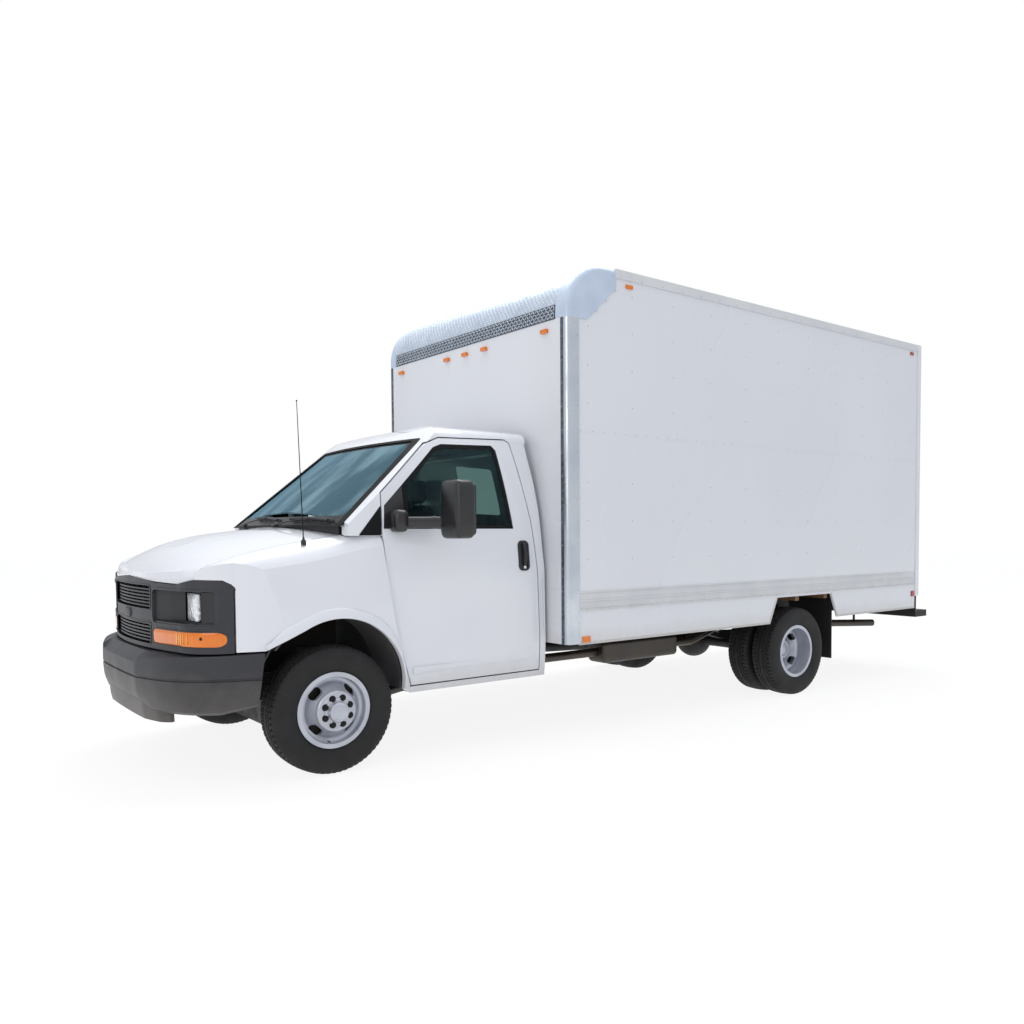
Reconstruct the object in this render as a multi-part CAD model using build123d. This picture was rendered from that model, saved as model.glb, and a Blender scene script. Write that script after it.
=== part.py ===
import os
from math import hypot, sqrt

from build123d import *

# A box truck: a van cab on a ladder frame with a van body behind it.
# Millimetres. X runs rearwards from the front axle, Y to the truck's right, Z up from the ground.
# export() moves everything so that the finished part's origin is under the middle of its length.

# Running gear
wheelbase = 4039
tyre_radius = 372
tyre_width = 223
rim_seat_radius = 203
rim_flange_radius = 220
rim_width = 178
rim_wall = 9
bead_clearance = 0.3
front_wheel_y = 869
rear_wheel_gap = 38
rear_pair_y = 961
disc_offset = (tyre_width + rear_wheel_gap) / 2
disc_thickness = 12
hub_radius = 78
hub_face_radius = 96
hand_hole_count = 4
hand_hole_pitch_radius = 146
hand_hole_length = 82
hand_hole_width = 38
running_clearance = 0.3
kingpin_y = 780
kingpin_radius = 22
ball_joint_drop = 132
spindle_radius = 30
hub_depth = 60
post_setback = 32

# Ladder frame
rail_y = 430
rail_width = 70
rail_height = 165
front_rail_z = 390
rear_rail_z = 635
rail_front_x = -700
rail_kick_x = 1570
rail_kick_length = 330
crossmember_width = 90

# Cab form
cab_back_x = 1495
rocker_z = 421
waist_half = 1006
waist_z = 850
sill_half = waist_half - 21
belt_z = 1384
belt_half = waist_half - 38
eave_z = 1985
eave_half = waist_half - 178
roof_corner_half = waist_half - 261
roof_corner_z = 2062
roof_crown_z = 2135
shell = 25
pillar = 60
glass_inset = 6
glass_thickness = 6
panel_gap = 8
windscreen_base = (-10, 1440)
windscreen_top = (700, 2035)
windscreen_bow = 110
windscreen_foot_half = waist_half - 134
windscreen_head_half = waist_half - 316
windscreen_foot_z = 1432
windscreen_head_z = 1985

# Front end form
nose_x = -850
nose_half = waist_half - 306
nose_sweep = 85
lamp_corner = (-545, waist_half - 64)
hood_half = waist_half - 180
hood_rear_x = -20
hood_front_setback = 50
surround_top_z = 1139
surround_foot_z = 748
bumper_front_x = -930
bumper_crease_y = 578
bumper_end_x = -408
bumper_end_y = waist_half - 3
bumper_top_z = 740
bumper_centre_top_z = 705
bumper_foot_z = 458
bumper_depth = 85
groove_z = 603
groove_height = 8
groove_depth = 8
chin_foot_z = 352
chin_setback = 22
arch_centre = (17, 490)
arch_radius = 413

# Cab inside
cab_floor_z = 620
cab_floor_thickness = 40
firewall_x = 470
firewall_top_z = 1060

# Doors
door_skin = 20
door_inner_step = 14
door_hinge_x = 302
buffer_radius = 8
buffer_clearance = 0.4
buffer_z = 640
buffer_y = waist_half - 48
hood_buffer = (-722, 600)

# Van body
box_front_x = 1520
rear_overhang = 1901
box_length = wheelbase + rear_overhang - box_front_x
box_half = 1219
box_top_z = 3175
floor_top_z = 950
floor_thickness = 45
sill_height = 105
sill_width = 50
sill_pitch = 406.4
sill_margin = 60
sill_count = int((box_length - 2 * sill_margin) / sill_pitch) + 1
wall = 40
roof_thickness = 35
nose_radius = 330
nose_band_z = box_top_z - 380
post_width = 100
post_depth = 70
post_radius = 42
post_foot_z = 640
casting_reach = 430
casting_length = 125
top_rail_height = 62
rub_rail_foot_z = 862
rub_rail_top_z = 992
rail_proud = 8
skirt_foot_z = 632
skirt_thickness = 12
cutout_foot_half = 468
cutout_top_half = 372
cutout_shift = 70
lamp_proud = 22
plate_spacing = 177.8
plate_drop = 120.65
plate_hole = 3.5
step_depth = 210
step_top_z = 600
step_bar = 62

# Sizes that follow
axle_z = tyre_radius
box_rear_x = box_front_x + box_length
step_rear_x = box_rear_x + step_depth
middle_x = (bumper_front_x + step_rear_x) / 2
floor_foot_z = floor_top_z - floor_thickness
sill_foot_z = floor_foot_z - sill_height


os.makedirs("parts", exist_ok=True)


def sill_x(number):
    """The front edge of one of the van body's floor sills."""
    return box_front_x + 60 + number * sill_pitch


def export(node, shape):
    """Writes one piece, moved to the part's own origin."""
    export_step(shape.moved(Location((-middle_x, 0, 0))), f"parts/{node}.step")


def outline(plane, start, *steps):
    """A closed face. A step is a point for a straight edge, or (point on the way, end) for an arc."""
    edges, here = [], start
    for step in steps:
        if isinstance(step[0], tuple):
            edges.append(ThreePointArc(here, step[0], step[1]))
            here = step[1]
        else:
            edges.append(Line(here, step))
            here = step
    if here != start:
        edges.append(Line(here, start))
    return plane * make_face(edges)


def side_plate(y_low, y_high, start, *steps):
    """A side-view outline of (x, z) points, carried from y_low to y_high."""
    return extrude(outline(Plane.XZ.offset(-y_high), start, *steps), y_high - y_low)


def plan_plate(z_low, z_high, start, *steps):
    """A plan-view outline of (x, y) points, carried from z_low to z_high."""
    return extrude(outline(Plane.XY.offset(z_low), start, *steps), z_high - z_low)


def front_plate(x_low, x_high, start, *steps):
    """A front-view outline of (y, z) points, carried from x_low to x_high."""
    return extrude(outline(Plane.YZ.offset(x_low), start, *steps), x_high - x_low)


def block(x_low, x_high, y_low, y_high, z_low, z_high):
    """A plain block between two corners."""
    size = (x_high - x_low, y_high - y_low, z_high - z_low)
    centre = ((x_low + x_high) / 2, (y_low + y_high) / 2, (z_low + z_high) / 2)
    return Pos(*centre) * Box(*size)


def rod(radius, start, end):
    """A round bar from one point to another."""
    run = Vector(*end) - Vector(*start)
    return extrude(Plane(start, z_dir=run) * Circle(radius), run.length)


def other_side(shape):
    """The same piece on the truck's other side."""
    return mirror(shape, about=Plane.XZ)


def both(shape):
    """A piece and its mirror image, as two solids of one node."""
    return Compound(shape.solids() + other_side(shape).solids())


# Wheels
def wheel_axis(y):
    """A plane whose first direction is the wheel's radius and whose second runs outwards, to -Y."""
    return Plane((0, y, axle_z), x_dir=(1, 0, 0), z_dir=(0, 0, 1))


def tyre():
    """A road tyre standing on its wheel at the origin's axle, its middle at y = 0."""
    bead, crown, half = rim_seat_radius + bead_clearance, tyre_radius, tyre_width / 2
    bead_half, shoulder = rim_width / 2 - rim_wall - bead_clearance, 26
    face = outline(
        wheel_axis(0),
        (bead, -bead_half),
        (rim_flange_radius + 1, -bead_half),
        ((bead + 42, -half + 9), (bead + 80, -half)),
        ((crown - 56, -half + 2), (crown - shoulder, -half + 12)),
        ((crown - 9, -half + 22), (crown - 3, -half + 40)),
        ((crown, 0), (crown - 3, half - 40)),
        ((crown - 9, half - 22), (crown - shoulder, half - 12)),
        ((crown - 56, half - 2), (bead + 80, half)),
        ((bead + 42, half - 9), (rim_flange_radius + 1, bead_half)),
        (bead, bead_half),
    )
    return revolve(face, Axis((0, 0, axle_z), (0, 1, 0)))


def rim(outward):
    """A steel wheel with its middle at y = 0; its disc stands disc_offset towards outward, -1 or 1."""
    seat, half, inner = rim_seat_radius, rim_width / 2, rim_seat_radius - rim_wall
    barrel = outline(
        wheel_axis(0),
        (inner, -half),
        (rim_flange_radius, -half),
        (rim_flange_radius, -half + rim_wall),
        (seat, -half + rim_wall),
        (seat, half - rim_wall),
        (rim_flange_radius, half - rim_wall),
        (rim_flange_radius, half),
        (inner, half),
    )
    face_y = disc_offset
    weld_y = half - 48
    disc = outline(
        wheel_axis(0),
        (hub_radius, face_y),
        (hub_face_radius, face_y),
        ((hub_face_radius + 20, face_y - 8), (hub_face_radius + 26, face_y - 26)),
        (inner - 34, weld_y + 2),
        ((inner - 14, weld_y - 2), (inner, weld_y + 6)),
        (inner, weld_y - 8),
        ((inner - 22, weld_y - 17), (inner - 44, weld_y - 6)),
        (hub_face_radius + 12, face_y - 34),
        (hub_face_radius - 4, face_y - disc_thickness),
        (hub_radius, face_y - disc_thickness),
    )
    axis = Axis((0, 0, axle_z), (0, 1, 0))
    wheel = revolve(barrel, axis) + revolve(disc, axis)
    slot = Plane.XZ.offset(-rim_width) * SlotOverall(hand_hole_length, hand_hole_width)
    for turn in range(hand_hole_count):
        hole = extrude(slot, 2 * rim_width).moved(Location((0, 0, hand_hole_pitch_radius)))
        angle = 45 + turn * 360 / hand_hole_count
        wheel -= hole.rotate(Axis.Y, angle).moved(Location((0, 0, axle_z)))
    return wheel if outward > 0 else mirror(wheel, about=Plane.XZ)


def hub_cap(face_y, depth):
    """The round hub that fills the disc's centre hole, its cap just outside the disc."""
    body = rod(hub_radius, (0, face_y - depth, axle_z), (0, face_y + 6, axle_z))
    cap = rod(46, (0, face_y + 6, axle_z), (0, face_y + 34, axle_z))
    return body + fillet(cap.edges().group_by(Axis.Y)[-1], 9)


tyre_solid = tyre()
front_rim = rim(1) + hub_cap(disc_offset, hub_depth)
export("front_tyre_right", tyre_solid.moved(Location((0, front_wheel_y, 0))))
export("front_rim_right", front_rim.moved(Location((0, front_wheel_y, 0))))
export("front_tyre_left", tyre_solid.moved(Location((0, -front_wheel_y, 0))))
export("front_rim_left", other_side(front_rim.moved(Location((0, front_wheel_y, 0)))))

outer_y = rear_pair_y + disc_offset
inner_y = rear_pair_y - disc_offset
rear_tyres = Compound(
    [tyre_solid.moved(Location((wheelbase, y, 0))) for y in (inner_y, outer_y)]
)
rear_hub = rod(hub_radius - 1, (0, rear_pair_y - 70, axle_z), (0, rear_pair_y + 84, axle_z))
rear_rims = (
    rim(1).moved(Location((0, inner_y, 0)))
    + rim(-1).moved(Location((0, outer_y, 0)))
    + rear_hub
    + rod(
        hub_face_radius,
        (0, rear_pair_y - disc_thickness, axle_z),
        (0, rear_pair_y + disc_thickness, axle_z),
    )
).moved(Location((wheelbase, 0, 0)))
export("rear_tyres_right", rear_tyres)
export("rear_tyres_left", other_side(rear_tyres))
export("rear_rims_right", rear_rims)
export("rear_rims_left", other_side(rear_rims))

# Axles, springs and drive
spindle_end = front_wheel_y + disc_offset - hub_depth - running_clearance


def knuckle():
    """The right-hand upright: a post between its ball joints, the wheel's spindle and a steering arm."""
    low, high = axle_z - ball_joint_drop + post_setback, axle_z + ball_joint_drop - post_setback
    post = block(-34, 34, kingpin_y - 30, kingpin_y + 30, low, high)
    spindle = rod(spindle_radius, (0, kingpin_y, axle_z), (0, spindle_end, axle_z))
    flange = rod(70, (0, kingpin_y + 30, axle_z), (0, kingpin_y + 62, axle_z))
    arm = block(20, 120, kingpin_y - 30, kingpin_y, axle_z - 70, axle_z - 46)
    return post + spindle + flange + arm


def suspension_arms():
    """Upper and lower wishbones with the coil spring between them, from the frame to the ball joints."""
    pieces = []
    levels = (
        (axle_z - ball_joint_drop, rail_y - 90, 150),
        (axle_z + ball_joint_drop, rail_y + rail_width / 2, 110),
    )
    for z, inner, half in levels:
        tip = kingpin_y - 26
        plate = plan_plate(
            z - 13,
            z + 13,
            (-half, inner),
            (half, inner),
            (34, tip),
            (34, kingpin_y + 26),
            (-34, kingpin_y + 26),
            (-34, tip),
        )
        pieces.append(plate)
    lower, upper = pieces
    tower_y = rail_y + rail_width / 2 + 75
    spring = rod(52, (0, tower_y, axle_z - ball_joint_drop + 13), (0, tower_y, 700))
    for side, arm in ((-1, lower), (1, upper)):
        joint_z = axle_z + side * ball_joint_drop
        stud_end = joint_z - side * (post_setback - running_clearance)
        spring += arm + rod(kingpin_radius, (0, kingpin_y, joint_z), (0, kingpin_y, stud_end))
    return spring


beam_half = rail_y + rail_width / 2
cross_beam = block(-170, 170, -beam_half, beam_half, axle_z - ball_joint_drop - 40, front_rail_z)
front_suspension = suspension_arms() + other_side(suspension_arms()) + cross_beam
export("knuckle_right", knuckle())
export("knuckle_left", other_side(knuckle()))
export("front_suspension", front_suspension)

axle_tube = 46
spring_y = 505
spring_width = 70
spring_thickness = 46
spring_half = 620
axle_end = rear_pair_y - 70 - running_clearance
rear_axle = rod(axle_tube, (wheelbase, -axle_end, axle_z), (wheelbase, axle_end, axle_z))
rear_axle += Pos(wheelbase, 0, axle_z) * Sphere(165)
export("rear_axle", rear_axle)

leaf_pack = side_plate(
    spring_y - spring_width / 2,
    spring_y + spring_width / 2,
    (wheelbase - spring_half, rear_rail_z + 10),
    ((wheelbase, axle_z + axle_tube + spring_thickness), (wheelbase + spring_half, rear_rail_z + 10)),
    (wheelbase + spring_half, rear_rail_z - 22),
    ((wheelbase, axle_z + axle_tube), (wheelbase - spring_half, rear_rail_z - 22)),
)
hanger_low, hanger_high = rear_rail_z - 30, rear_rail_z + 60
for x in (wheelbase - spring_half, wheelbase + spring_half):
    leaf_pack += block(x - 35, x + 35, beam_half, spring_y + spring_width / 2, hanger_low, hanger_high)
export("rear_springs", both(leaf_pack))

engine = block(-460, 330, -255, 255, 480, 1010) + block(330, 1050, -150, 150, 430, 560)
mount_half = rail_y - rail_width / 2
engine += block(-60, 60, -mount_half, mount_half, 500, 545)
export("engine", engine)
shaft_z = 500
drive_shaft = rod(45, (1052.2, 0, shaft_z), (wheelbase - 165.6, 0, axle_z + 12))
export("drive_shaft", drive_shaft)

tank_front = wheelbase + 700
fuel_tank = fillet(block(tank_front, tank_front + 880, -350, 350, 420, rear_rail_z - 15).edges(), 40)
for x in (tank_front + 180, tank_front + 640):
    fuel_tank += block(x, x + 60, -beam_half, beam_half, rear_rail_z - 24, rear_rail_z)
export("fuel_tank", fuel_tank)

pipe_radius = 32
pipe_y = -645
tail_y = -1000
tail_bend_x = wheelbase + 961
tail_run = 480
tail_z = 500
pipe_path = FilletPolyline(
    (230, -200, 479.8),
    (230, -200, 322),
    (470, pipe_y + 200, 322),
    (850, pipe_y, 440),
    (1500, pipe_y, 470),
    (3300, pipe_y, 470),
    (3700, pipe_y, 590),
    (wheelbase + 611, pipe_y, 590),
    (tail_bend_x, tail_y + 120, 520),
    (tail_bend_x + tail_run, tail_y, tail_z),
    radius=90,
)
pipe = sweep(Plane(pipe_path @ 0, z_dir=pipe_path % 0) * Circle(pipe_radius), path=pipe_path)
muffler = fillet(block(2250, 3050, pipe_y - 105, pipe_y + 105, 390, 560).edges(), 35)
hanger = block(2600, 2640, pipe_y + 70, pipe_y + 90, 550, 690)
hanger += block(2600, 2640, pipe_y + 70, -beam_half, 670, 690)
# The tail's hanger drops from the last floor sill but one to the last run of pipe
hanger_x = sill_x(sill_count - 2) + 10
tail_share = (hanger_x + 8 - tail_bend_x) / tail_run
hanger_y = tail_y + 120 * (1 - tail_share)
tail_hanger = block(hanger_x, hanger_x + 16, hanger_y - 8, hanger_y + 8, tail_z + 8, sill_foot_z)
export("exhaust", pipe + muffler + hanger + tail_hanger)


# Ladder frame
def rail():
    """One frame rail: low under the cab, with a sloping kick up to the van body."""
    low, high = front_rail_z, rear_rail_z
    kick_end = rail_kick_x + rail_kick_length
    return side_plate(
        rail_y - rail_width / 2,
        rail_y + rail_width / 2,
        (rail_front_x, low),
        (rail_kick_x, low),
        (kick_end, high),
        (box_rear_x, high),
        (box_rear_x, high + rail_height),
        (kick_end - 60, high + rail_height),
        (rail_kick_x - 60, low + rail_height),
        (rail_front_x, low + rail_height),
    )


# Each crossmember: its front edge along X, its underside and its height
crossmembers = (
    (-565, front_rail_z + 30, 100),
    (960, front_rail_z, 40),
    (1700, rear_rail_z + 30, 110),
    (2700, rear_rail_z + 30, 110),
    (3500, rear_rail_z + 30, 110),
    (4560, rear_rail_z + 30, 110),
    (box_rear_x - crossmember_width, rear_rail_z + 30, 110),
)
frame_rails = rail() + other_side(rail())
for x, low, tall in crossmembers:
    frame_rails += block(x, x + crossmember_width, -rail_y, rail_y, low, low + tall)
export("frame_rails", frame_rails)


# Cab form
def side_y(z):
    """Half the body's width at a height, on the arc through sill, waist and belt."""
    (y1, z1), (y2, z2), (y3, z3) = (sill_half, rocker_z), (waist_half, waist_z), (belt_half, belt_z)
    a = 2 * (y2 - y1)
    b = 2 * (z2 - z1)
    c = y2**2 + z2**2 - y1**2 - z1**2
    d = 2 * (y3 - y1)
    e = 2 * (z3 - z1)
    f = y3**2 + z3**2 - y1**2 - z1**2
    centre_z = (a * f - d * c) / (a * e - d * b)
    centre_y = (c - b * centre_z) / a
    radius = hypot(y1 - centre_y, z1 - centre_z)
    return centre_y + sqrt(radius**2 - (z - centre_z) ** 2)


def windscreen_slope(inset):
    """Everything behind the bowed windscreen plane, moved inwards by inset."""
    run = windscreen_top[0] - windscreen_base[0]
    rise = windscreen_top[1] - windscreen_base[1]
    drop = windscreen_base[1] - rocker_z
    foot_x = windscreen_base[0] - drop * run / rise + inset * hypot(run, rise) / rise
    back = foot_x + 3 * wheelbase
    face = outline(
        Plane.XY.offset(rocker_z),
        (foot_x + windscreen_bow, -belt_half),
        ((foot_x, 0), (foot_x + windscreen_bow, belt_half)),
        (back, belt_half + 3 * pillar),
        (back, -belt_half - 3 * pillar),
    )
    slope = hypot(run, rise)
    length = (roof_crown_z + 2 * pillar - rocker_z) * slope / rise
    wide = plan_plate(
        rocker_z - pillar,
        roof_crown_z + pillar,
        (windscreen_base[0] + windscreen_bow, -waist_half - pillar),
        (windscreen_base[0] + windscreen_bow, waist_half + pillar),
        (cab_back_x + pillar, waist_half + pillar),
        (cab_back_x + pillar, -waist_half - pillar),
    )
    return extrude(face, length, dir=(run, 0, rise)) & wide


def cabin(inset):
    """The cabin's closed form, moved inwards by inset on every side but its floor."""
    i = inset
    foot = rocker_z - pillar
    section = front_plate(
        windscreen_base[0] - 10,
        cab_back_x + 10,
        (sill_half - i, foot),
        (sill_half - i, rocker_z),
        ((waist_half - i, waist_z), (belt_half - i, belt_z)),
        ((side_bow_half - i, (belt_z + eave_z) / 2), (eave_half - i, eave_z)),
        ((eave_half - 22 - i, roof_corner_z - 28), (roof_corner_half - i, roof_corner_z - i)),
        ((0, roof_crown_z - i), (-roof_corner_half + i, roof_corner_z - i)),
        ((-eave_half + 22 + i, roof_corner_z - 28), (-eave_half + i, eave_z)),
        ((-side_bow_half + i, (belt_z + eave_z) / 2), (-belt_half + i, belt_z)),
        ((-waist_half + i, waist_z), (-sill_half + i, rocker_z)),
        (-sill_half + i, foot),
    )
    profile = side_plate(
        -waist_half,
        waist_half,
        (windscreen_base[0] - 10, foot),
        (windscreen_base[0] - 10, windscreen_top[1] - 40 - i),
        (windscreen_top[0] - 60, windscreen_top[1] - 40 - i),
        ((windscreen_top[0] + 250, roof_crown_z - 18 - i), (cab_back_x - 120, roof_crown_z + 2 - i)),
        ((cab_back_x - 62 - i, roof_crown_z - 22 - i), (cab_back_x - 45 - i, eave_z - i)),
        (cab_back_x - i, waist_z + 280),
        (cab_back_x - i, foot),
    )
    return section & profile & windscreen_slope(i)


side_bow_half = (belt_half + eave_half) / 2 + 14
cabin_outer = cabin(0)
above_rocker = block(-wheelbase, wheelbase, -wheelbase, wheelbase, rocker_z, wheelbase)
cabin_shell = (cabin_outer & above_rocker) - cabin(pillar)

door_edge = (
    (480, 466),
    (1443, 466),
    (1443, 700),
    (1434, 1099),
    (1406, 1454),
    (1365, 1727),
    (1322, 1985),
    (1290, 2004),
    (780, 1988),
    (684, 1948),
    (326, 1627),
    (312, 1384),
    (330, 1200),
    (355, 1000),
    (385, 830),
    (430, 650),
)
glass_front_x = 470
window_edge = (
    (322, 1412),
    (1262, 1412),
    (1256, 1480),
    (1206, 1930),
    (1176, 1962),
    (790, 1950),
    (728, 1926),
    (338, 1552),
)


def side_region(points, shrinkage, y_low, y_high):
    """A side-view outline of points, moved inwards by shrinkage and carried from y_low to y_high."""
    flat = outline(Plane.XY, *points)
    if shrinkage:
        flat = offset(flat, amount=-shrinkage, kind=Kind.INTERSECTION)
    face = Plane.XZ.offset(-y_high) * flat
    return extrude(face, y_high - y_low)


inside_y = 500
outside_y = waist_half + 20
door_hole = side_region(door_edge, -panel_gap, inside_y, outside_y)
door_outer = side_region(door_edge, 0, inside_y, outside_y)
door_inner = side_region(door_edge, door_inner_step, inside_y, outside_y)
window_hole = side_region(window_edge, 0, inside_y, outside_y)
behind_sail = block(glass_front_x, cab_back_x, inside_y, outside_y, belt_z, eave_z)
ahead_of_sail = block(door_hinge_x, glass_front_x, inside_y, outside_y, belt_z, eave_z)
skin = cabin_outer - cabin(door_skin)
inner_door = cabin(door_skin) - cabin(pillar)
door = ((skin & door_outer) + (inner_door & door_inner)) - window_hole
export("door_right", door)
export("door_left", other_side(door))
glass_skin = cabin(glass_inset) - cabin(glass_inset + glass_thickness)
door_glass = glass_skin & window_hole & behind_sail
export("door_glass_right", door_glass)
export("door_glass_left", other_side(door_glass))

windscreen_hole = front_plate(
    windscreen_base[0] - 100,
    windscreen_top[0] + 160,
    (-windscreen_foot_half, windscreen_foot_z),
    (windscreen_foot_half, windscreen_foot_z),
    (windscreen_head_half, windscreen_head_z),
    (-windscreen_head_half, windscreen_head_z),
)
windscreen = glass_skin & windscreen_hole
export("windscreen", windscreen)

roof_region = block(
    -200, cab_back_x + 50, -roof_corner_half, roof_corner_half, windscreen_head_z, 2 * roof_crown_z
)
cab_roof = (cabin_shell & roof_region) - windscreen_hole
export("cab_roof", cab_roof)
back_clear = block(cab_back_x - 110, cab_back_x + 50, -880, 880, 0, windscreen_head_z)
above_floor_foot = block(
    0, wheelbase, -waist_half, waist_half, cab_floor_z - cab_floor_thickness, windscreen_head_z
)
cab_back = cabin_shell & back_clear & above_floor_foot
export("cab_back", cab_back)
pillar_foot_x = 96
rocker_front_x = 472
side_region_all = side_plate(
    inside_y,
    outside_y,
    (pillar_foot_x, belt_z - 12),
    (door_edge[-5][0] + 20, belt_z - 12),
    (door_edge[-1][0] + 60, door_edge[0][1]),
    (rocker_front_x, rocker_z + 30),
    (rocker_front_x, rocker_z - 5),
    (cab_back_x + 50, rocker_z - 5),
    (cab_back_x + 50, 2 * roof_crown_z),
    (pillar_foot_x, 2 * roof_crown_z),
)
under_glass = block(-200, firewall_x, 0, windscreen_foot_half, 0, windscreen_foot_z)
cab_side = (cabin_shell & side_region_all) - roof_region - back_clear - door_hole
cab_side = cab_side - windscreen_hole - under_glass
# A rubber buffer on the rear pillar, that the closed door's edge rests on
door_rear_x = door_edge[1][0]
cab_side += rod(
    buffer_radius,
    (door_rear_x - door_inner_step + buffer_clearance, buffer_y, buffer_z),
    (door_rear_x + panel_gap + 2, buffer_y, buffer_z),
)
export("cab_sides", both(cab_side))

cowl_half = hood_half + panel_gap - running_clearance
cowl = plan_plate(
    belt_z - 60,
    windscreen_foot_z - 4,
    (hood_rear_x + panel_gap + windscreen_bow, -cowl_half),
    ((hood_rear_x + panel_gap, 0), (hood_rear_x + panel_gap + windscreen_bow, cowl_half)),
    (pillar_foot_x + 84, cowl_half),
    (pillar_foot_x + 84, -cowl_half),
)
export("cowl", cowl)

# Mirrors
mirror_x = 600
mirror_inner_y = waist_half + 109
mirror_outer_y = mirror_inner_y + 227
mirror_foot_z = 1352
mirror_height = 348
mirror_depth = 138
arm_z = 1450
arm_radius = 24
sail = (cabin(4) - cabin(28)) & window_hole & ahead_of_sail
head_top_z = mirror_foot_z + mirror_height
head = block(mirror_x, mirror_x + mirror_depth, mirror_inner_y, mirror_outer_y, mirror_foot_z, head_top_z)
head = fillet(head.edges(), 30)
foot = block(368, 440, side_y(belt_z) - 40, side_y(belt_z) + 62, arm_z - 42, arm_z + 50)
foot &= block(0, wheelbase, 0, wheelbase, belt_z + 30, eave_z)
arm = rod(arm_radius, (410, side_y(belt_z) + 30, arm_z), (mirror_x + 60, mirror_inner_y + 40, arm_z))
mirror_right = sail + fillet(foot.edges().filter_by(Axis.Z), 12) + arm + head
export("mirror_right", mirror_right)
export("mirror_left", other_side(mirror_right))


# Front end form
def nose_y(x_back):
    """Where the nose lies in plan, moved back by x_back: centre, corner and lamp corner points."""
    corner = (nose_x + nose_sweep + x_back, nose_half - x_back / 2)
    return corner, (lamp_corner[0] + x_back, lamp_corner[1] - x_back / 3)


def nose_plan(inset, z_low, z_high):
    """Everything behind the front end's curved plan, moved inwards by inset."""
    (corner_x, corner_y), (lamp_x, lamp_y) = nose_y(inset)
    side = waist_half + 2 - inset
    return plan_plate(
        z_low,
        z_high,
        (-250, -side),
        ((-420, -side + 22), (lamp_x, -lamp_y)),
        ((-690 + inset, -862 + inset), (corner_x, -corner_y)),
        ((nose_x + inset, 0), (corner_x, corner_y)),
        ((-690 + inset, 862 - inset), (lamp_x, lamp_y)),
        ((-420, side - 22), (-250, side)),
        (wheelbase, side),
        (wheelbase, -side),
    )


# Front-end sections: station along X, shoulder height, height at the hood's edge, height in the middle
front_sections = (
    (-790, 1120, 1124, 1165),
    (-640, 1214, 1216, 1300),
    (-400, 1268, 1292, 1380),
    (130, 1356, 1384, 1452),
    (520, 1380, 1420, 1480),
)
shoulder_half = waist_half - 76
shoulder_drop = 74


def front_section(station, inset):
    """The closed section of hood and fenders at one station, moved inwards by inset."""
    x, shoulder, edge, middle = station
    i = inset
    low = shoulder - shoulder_drop
    return outline(
        Plane.YZ.offset(x),
        (sill_half - i, rocker_z),
        ((side_y((rocker_z + low) / 2) - i, (rocker_z + low) / 2), (side_y(low) - i, low)),
        ((shoulder_half + 16 - i, shoulder - 14 - i), (hood_half, edge - i)),
        ((0, middle - i), (-hood_half, edge - i)),
        ((-shoulder_half - 16 + i, shoulder - 14 - i), (-side_y(low) + i, low)),
        ((-side_y((rocker_z + low) / 2) + i, (rocker_z + low) / 2), (-sill_half + i, rocker_z)),
    )


def front_form(inset):
    """The whole front end as one closed form."""
    body = loft([front_section(station, inset) for station in front_sections])
    return body & nose_plan(inset, rocker_z - 100, roof_crown_z)


front_shell = front_form(0) - front_form(shell)
under_shell = front_form(shell + running_clearance)
fender_edge = (
    (-540, surround_foot_z + 4),
    (-540, 1086),
    (-556, 1116),
    (-600, 1140),
    (-765, 1146),
    (-765, belt_z + 100),
    (door_hinge_x, belt_z + 100),
    (304, belt_z),
    (322, 1200),
    (347, 1000),
    (377, 830),
    (421, 650),
    (471, 466),
    (471, rocker_z),
    (428, rocker_z + 26),
)
arch_front = (-185, 850)
fender_region = side_plate(
    hood_half + panel_gap,
    outside_y,
    fender_edge[0],
    *fender_edge[1:],
    ((arch_centre[0], arch_centre[1] + arch_radius), arch_front),
    (-387, 761),
    (-398, surround_foot_z + 4),
)
fender = front_shell & fender_region
fender -= block(pillar_foot_x, wheelbase, 0, wheelbase, belt_z - 12.3, roof_crown_z)
export("fenders", both(fender))

hood_front = hood_front_setback + shell
hood_region = plan_plate(
    surround_top_z + panel_gap,
    roof_crown_z,
    (hood_rear_x + windscreen_bow, -hood_half),
    ((hood_rear_x, 0), (hood_rear_x + windscreen_bow, hood_half)),
    (-wheelbase, hood_half),
    (-wheelbase, -hood_half),
)
hood_outer = loft([front_section(station, 0) for station in front_sections])
hood_inner = loft([front_section(station, shell) for station in front_sections])
nose_cut = side_plate(
    -hood_half - 1,
    hood_half + 1,
    (nose_x + hood_front_setback, surround_top_z - 40),
    ((-775, 1205), (-640, 1300)),
    ((-400, 1384), (hood_rear_x + 160, 1466)),
    (hood_rear_x + 160, surround_top_z - 40),
)
hood_form = hood_outer & nose_plan(hood_front_setback, surround_top_z - 40, roof_crown_z) & nose_cut
hood_hollow = hood_inner & nose_plan(hood_front, surround_top_z - 41, roof_crown_z)
hood_hollow &= nose_cut.moved(Location((shell, 0, -shell)))
hood = (hood_form - hood_hollow) & hood_region
export("hood", hood)

# Grille, lamp surround and lamps
surround_depth = 70
surround_half = waist_half - 46
lamp_inner_y = 425
lamp_outer_y = lamp_corner[1] - 37
bar_depth = 26
bar_height = 9
bar_pitch = 19
surround = nose_plan(0, surround_foot_z, surround_top_z) - nose_plan(
    surround_depth, surround_foot_z - 1, surround_top_z + 1
)
surround &= front_plate(
    nose_x - 1,
    lamp_corner[0] - 4,
    (-surround_half, surround_foot_z),
    (surround_half, surround_foot_z),
    (surround_half, 1070),
    ((surround_half - 30, 1098), (surround_half - 120, 1110)),
    (430, 1118),
    ((0, surround_top_z), (-430, 1118)),
    (120 - surround_half, 1110),
    ((30 - surround_half, 1098), (-surround_half, 1070)),
)
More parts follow.
